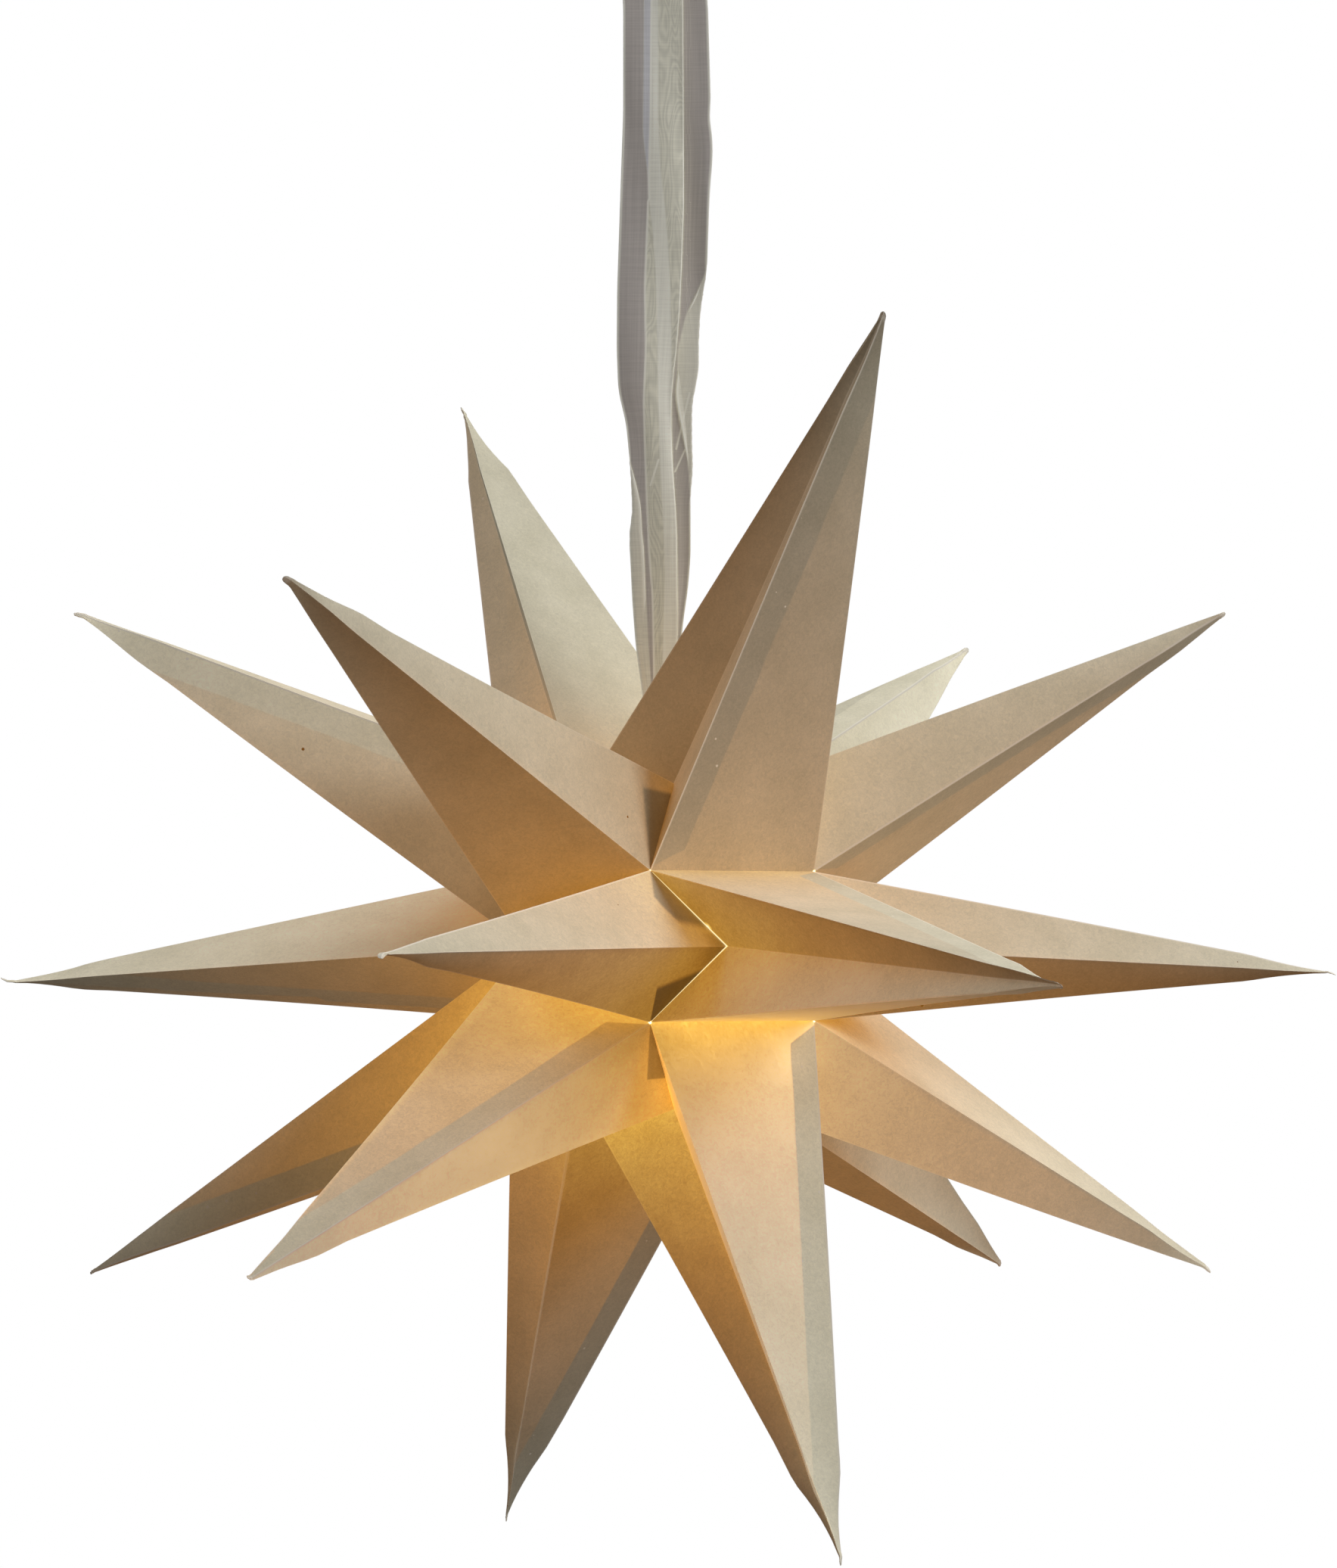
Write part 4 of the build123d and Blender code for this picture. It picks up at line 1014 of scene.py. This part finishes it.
def makeSteel():
    # Zinc-plated steel, brushed along X: fine lines, a soft wide glint.
    material, tree, shader = newMaterial("zincPlatedSteel")
    coords = addNode(tree, "ShaderNodeTexCoord", out="Object")
    sizes = np.array([steelLook["brushLength"], steelLook["brushWidth"], steelLook["brushWidth"]]) * mm
    drawn = addNode(tree, "ShaderNodeMapping", {"Vector": coords, "Scale": tuple(1 / sizes)})
    lines = addNode(tree, "ShaderNodeTexNoise", {"Vector": drawn, "Scale": 1.0, "Detail": 4.0})
    spangle = addNode(tree, "ShaderNodeTexNoise", {
        "Vector": coords, "Scale": 1 / (steelLook["spangle"] * mm), "Detail": 2.0})
    mixed = addNode(tree, "ShaderNodeMath", {0: lines, 1: spangle}, operation="ADD")
    tone = addNode(tree, "ShaderNodeMapRange", {"Value": mixed, "From Min": 0.7, "From Max": 1.3})
    colour = addNode(tree, "ShaderNodeMix", {
        "Factor": tone, 6: linear(steelLook["dark"]), 7: linear(steelLook["light"])}, out=2, data_type="RGBA")
    smooth, coarse = steelLook["roughness"]
    rough = addNode(tree, "ShaderNodeMapRange", {
        "Value": lines, "From Min": 0.3, "From Max": 0.7, "To Min": smooth, "To Max": coarse})
    bump = addNode(tree, "ShaderNodeBump", {
        "Height": lines, "Strength": 0.15, "Distance": steelLook["brushDepth"] * mm}, out="Normal")
    setSockets(tree, shader, Base_Color=colour, Metallic=1.0, Roughness=rough, Normal=bump)
    return material


# Moulded plastics: darker and lighter tone, grain, roughness.
plastics = {
    "whiteAbs": ("#DCDAD3", "#E6E4DE", 0.7, 0.5),
    "blackNylon": ("#191918", "#262524", 0.5, 0.55),
    "whiteSolderMask": ("#D9DBD6", "#ECEDE8", 1.2, 0.35),
    "frostedPolycarbonate": ("#F1E7D2", "#FAF3E6", 0.5, 0.45),
    "diodeResin": ("#F2C53A", "#FFE07A", 0.6, 0.2),
}
mould = {"flow": 14.0, "grainDepth": 0.04, "roughnessSpread": 0.06}


def makePlastic(name):
    # Injection-moulded plastic: even colour with a fine spark-eroded grain.
    dark, light, grain, roughness = plastics[name]
    material, tree, shader = newMaterial(name)
    coords = addNode(tree, "ShaderNodeTexCoord", out="Object")
    texture, flow = [
        addNode(tree, "ShaderNodeTexNoise", {"Vector": coords, "Scale": 1 / (size * mm), "Detail": detail})
        for size, detail in ((grain, 3.0), (mould["flow"], 1.0))]
    colour = addNode(tree, "ShaderNodeMix", {
        "Factor": flow, 6: linear(dark), 7: linear(light)}, out=2, data_type="RGBA")
    rough = addNode(tree, "ShaderNodeMapRange", {
        "Value": texture, "From Min": 0.3, "From Max": 0.7,
        "To Min": roughness - mould["roughnessSpread"], "To Max": roughness + mould["roughnessSpread"]})
    bump = addNode(tree, "ShaderNodeBump", {
        "Height": texture, "Strength": 0.2, "Distance": mould["grainDepth"] * mm}, out="Normal")
    setSockets(tree, shader, Base_Color=colour, Roughness=rough, Normal=bump)
    return material, tree, shader


brassLook = {"dark": "#B8933F", "light": "#DCC07A", "stain": 4.0, "roughness": (0.25, 0.42)}


def makeBrass():
    # Rolled brass strip, a little tarnished: paler and browner patches, a soft glint.
    material, tree, shader = newMaterial("rolledBrass")
    coords = addNode(tree, "ShaderNodeTexCoord", out="Object")
    stain = addNode(tree, "ShaderNodeTexNoise", {
        "Vector": coords, "Scale": 1 / (brassLook["stain"] * mm), "Detail": 3.0})
    colour = addNode(tree, "ShaderNodeMix", {
        "Factor": stain, 6: linear(brassLook["dark"]), 7: linear(brassLook["light"])},
        out=2, data_type="RGBA")
    smooth, coarse = brassLook["roughness"]
    rough = addNode(tree, "ShaderNodeMapRange", {
        "Value": stain, "From Min": 0.3, "From Max": 0.7, "To Min": smooth, "To Max": coarse})
    setSockets(tree, shader, Base_Color=colour, Metallic=1.0, Roughness=rough)
    return material


cells = {"film": "#5B6670", "ring": "#B9BEC1", "steel": "#C3C3C0", "ringFrom": 4.0, "steelFrom": 1.2}


def makeCells():
    # Plain shrink film on the cells: slate grey with a pale ring at the upper end, bare steel past it.
    material, tree, shader = newMaterial("cellShrinkFilm")
    coords = addNode(tree, "ShaderNodeTexCoord", out="Object")
    height = addNode(tree, "ShaderNodeSeparateXYZ", {0: coords}, out="Z")
    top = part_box("battery_cells")[1].z
    colour = linear(cells["film"])
    for name in ("ring", "steel"):
        past = addNode(tree, "ShaderNodeMath", {
            0: height, 1: top - cells[name + "From"] * mm}, operation="GREATER_THAN")
        colour = addNode(tree, "ShaderNodeMix", {
            "Factor": past, 6: colour, 7: linear(cells[name])}, out=2, data_type="RGBA")
    setSockets(tree, shader, Base_Color=colour, Roughness=0.32, Metallic=past)
    return material


lampGlow = {"globe": "#FFC873", "globeLow": 0.7, "globeHigh": 1.3, "diodes": "#FFD27A", "diodeStrength": 1.5}


def makeGlobe():
    # Frosted polycarbonate bubble: milky, satin, lit warm from the diodes behind it.
    material, tree, shader = makePlastic("frostedPolycarbonate")
    coords = addNode(tree, "ShaderNodeTexCoord", out="Object")
    low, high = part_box("globe")
    height = addNode(tree, "ShaderNodeSeparateXYZ", {0: coords}, out="Z")
    warm = addNode(tree, "ShaderNodeMapRange", {
        "Value": height, "From Min": low.z, "From Max": high.z,
        "To Min": lampGlow["globeLow"], "To Max": lampGlow["globeHigh"]})
    setSockets(tree, shader, Emission_Color=linear(lampGlow["globe"]), Emission_Strength=warm)
    return material


def makeDiodes():
    # Phosphor in clear resin: yellow, glossy, bright.
    material, tree, shader = makePlastic("diodeResin")
    setSockets(
        tree, shader, Emission_Color=linear(lampGlow["diodes"]), Emission_Strength=lampGlow["diodeStrength"])
    return material


steel, brass = makeSteel(), makeBrass()
whiteAbs, blackNylon, solderMask = [
    makePlastic(name)[0] for name in ("whiteAbs", "blackNylon", "whiteSolderMask")]
finishes = {
    "hanger_plate": steel, "hanger_pin": steel, "base_screws": steel,
    "hanger_disc": whiteAbs, "battery_case": whiteAbs, "battery_lid": whiteAbs, "lamp_base": whiteAbs,
    "switch_body": blackNylon, "switch_slider": blackNylon, "led_board": solderMask,
    "upper_contacts": brass, "lower_contacts": brass, "battery_cells": makeCells(),
    "globe": makeGlobe(), "leds": makeDiodes(),
}
for node, material in finishes.items():
    mesh = frame["nodes"][node].data
    mesh.materials.clear()
    mesh.materials.append(material)
print("finishes given:", len(finishes))

# Floor, light and camera, in metres
studio = {
    "floorDrop": 0.9,          # below the star's centre
    "floorSize": 10.0,
    "floorTone": "#E9E7E2",
    "nearWhite": 0.8,          # share of plain white in the floor near the middle, as the camera sees it
    "whiteFrom": 0.8,          # distance from the middle where the floor begins to turn all white
    "whiteTo": 4.5,
    "ambient": 0.07,
    # direction to each light: azimuth from the front towards the right, and elevation, in degrees
    "lights": [
        {"name": "backSoftbox", "azimuth": 120, "elevation": 55, "distance": 3.0, "size": 2.6, "watts": 60.0},
        {"name": "leftSoftbox", "azimuth": -90, "elevation": 55, "distance": 3.0, "size": 2.6, "watts": 27.0},
        {"name": "rightFill", "azimuth": 60, "elevation": 20, "distance": 2.2, "size": 1.0, "watts": 18.5},
        {"name": "leftFill", "azimuth": -65, "elevation": -5, "distance": 2.2, "size": 1.4, "watts": 1.5},
    ],
}
eye = {
    "distance": 2.47,
    "frameWidth": 0.602,       # at the star's centre
    "aimRight": 0.003,         # middle of the picture from the star's centre
    "aimUp": 0.073,
    "sensor": 36.0,            # mm
    "sight": 50.0,             # how far the camera sees
}


def makeFloor():
    # A flat square that turns all white with the distance from its middle, clear from below.
    half = studio["floorSize"] / 2
    corners = np.array([[-half, -half, 0], [half, -half, 0], [half, half, 0], [-half, half, 0]])
    corners = corners + centre - [0, 0, studio["floorDrop"]]
    material, tree, shader = newMaterial("paleFloor")
    setSockets(tree, shader, Base_Color=linear(studio["floorTone"]), Roughness=0.9, Specular_IOR_Level=0.1)
    white = addNode(tree, "ShaderNodeEmission", {"Color": (1.0, 1.0, 1.0, 1.0), "Strength": 1.0})
    clear = addNode(tree, "ShaderNodeBsdfTransparent")
    coords = addNode(tree, "ShaderNodeTexCoord", out="Object")
    fromMiddle = addNode(tree, "ShaderNodeVectorMath", {
        0: coords, 1: (0.0, 0.0, -star["drop"] - studio["floorDrop"])}, out="Value", operation="DISTANCE")
    paleness = addNode(tree, "ShaderNodeMapRange", {
        "Value": fromMiddle, "From Min": studio["whiteFrom"], "From Max": studio["whiteTo"],
        "To Min": studio["nearWhite"]})
    seen = addNode(tree, "ShaderNodeLightPath", out="Is Camera Ray")
    share = addNode(tree, "ShaderNodeMath", {0: seen, 1: paleness}, operation="MULTIPLY")
    pale = addNode(tree, "ShaderNodeMixShader", {0: share, 1: shader.outputs[0], 2: white})
    under = addNode(tree, "ShaderNodeNewGeometry", out="Backfacing")
    oneSided = addNode(tree, "ShaderNodeMixShader", {0: under, 1: pale, 2: clear})
    tree.links.new(oneSided, tree.nodes["Material Output"].inputs["Surface"])
    floor = addPiece("floor", corners, [[0, 1, 2, 3]], material, smooth=False)
    floor.visible_diffuse = False    # the star hangs free: no light comes back up from the floor


def makeLight(settings):
    light = bpy.data.lights.new(settings["name"], "AREA")
    light.size = settings["size"]
    light.energy = settings["watts"]
    turn, rise = np.radians([settings["azimuth"], settings["elevation"]])
    way = Vector((np.sin(turn) * np.cos(rise), -np.cos(turn) * np.cos(rise), np.sin(rise)))
    lightObject = bpy.data.objects.new(settings["name"], light)
    lightObject.location = Vector(centre) + way * settings["distance"]
    lightObject.rotation_euler = (-way).to_track_quat("-Z", "Y").to_euler()
    bpy.context.scene.collection.objects.link(lightObject)


def makeWorld():
    # white behind the object, in mirrors and through clear parts; a dim even light everywhere else
    world = bpy.data.worlds.new("studio")
    world.use_nodes = True
    tree = world.node_tree
    shown = addNode(tree, "ShaderNodeLightPath", out="Is Camera Ray")
    for ray in ("Is Glossy Ray", "Is Transmission Ray"):
        other = addNode(tree, "ShaderNodeLightPath", out=ray)
        shown = addNode(tree, "ShaderNodeMath", {0: shown, 1: other}, operation="MAXIMUM")
    strength = addNode(tree, "ShaderNodeMapRange", {
        "Value": shown, "To Min": studio["ambient"], "To Max": 1.0})
    background = tree.nodes["Background"]
    setSockets(tree, background, Color=(1.0, 1.0, 1.0, 1.0), Strength=strength)
    bpy.context.scene.world = world


def makeCamera():
    lens = bpy.data.cameras.new("eye")
    lens.sensor_fit = "HORIZONTAL"
    lens.sensor_width = eye["sensor"]
    lens.lens = eye["sensor"] * eye["distance"] / eye["frameWidth"]
    lens.clip_end = eye["sight"]
    camera = bpy.data.objects.new("eye", lens)
    camera.location = Vector(centre) + Vector((0, -eye["distance"], 0))
    target = Vector(centre) + Vector((eye["aimRight"], 0, eye["aimUp"]))
    camera.rotation_euler = (target - camera.location).to_track_quat("-Z", "Y").to_euler()
    bpy.context.scene.collection.objects.link(camera)
    bpy.context.scene.camera = camera


makeFloor()
for settings in studio["lights"]:
    makeLight(settings)
makeWorld()
makeCamera()
bpy.context.scene.view_settings.view_transform = "Standard"
print("studio set")
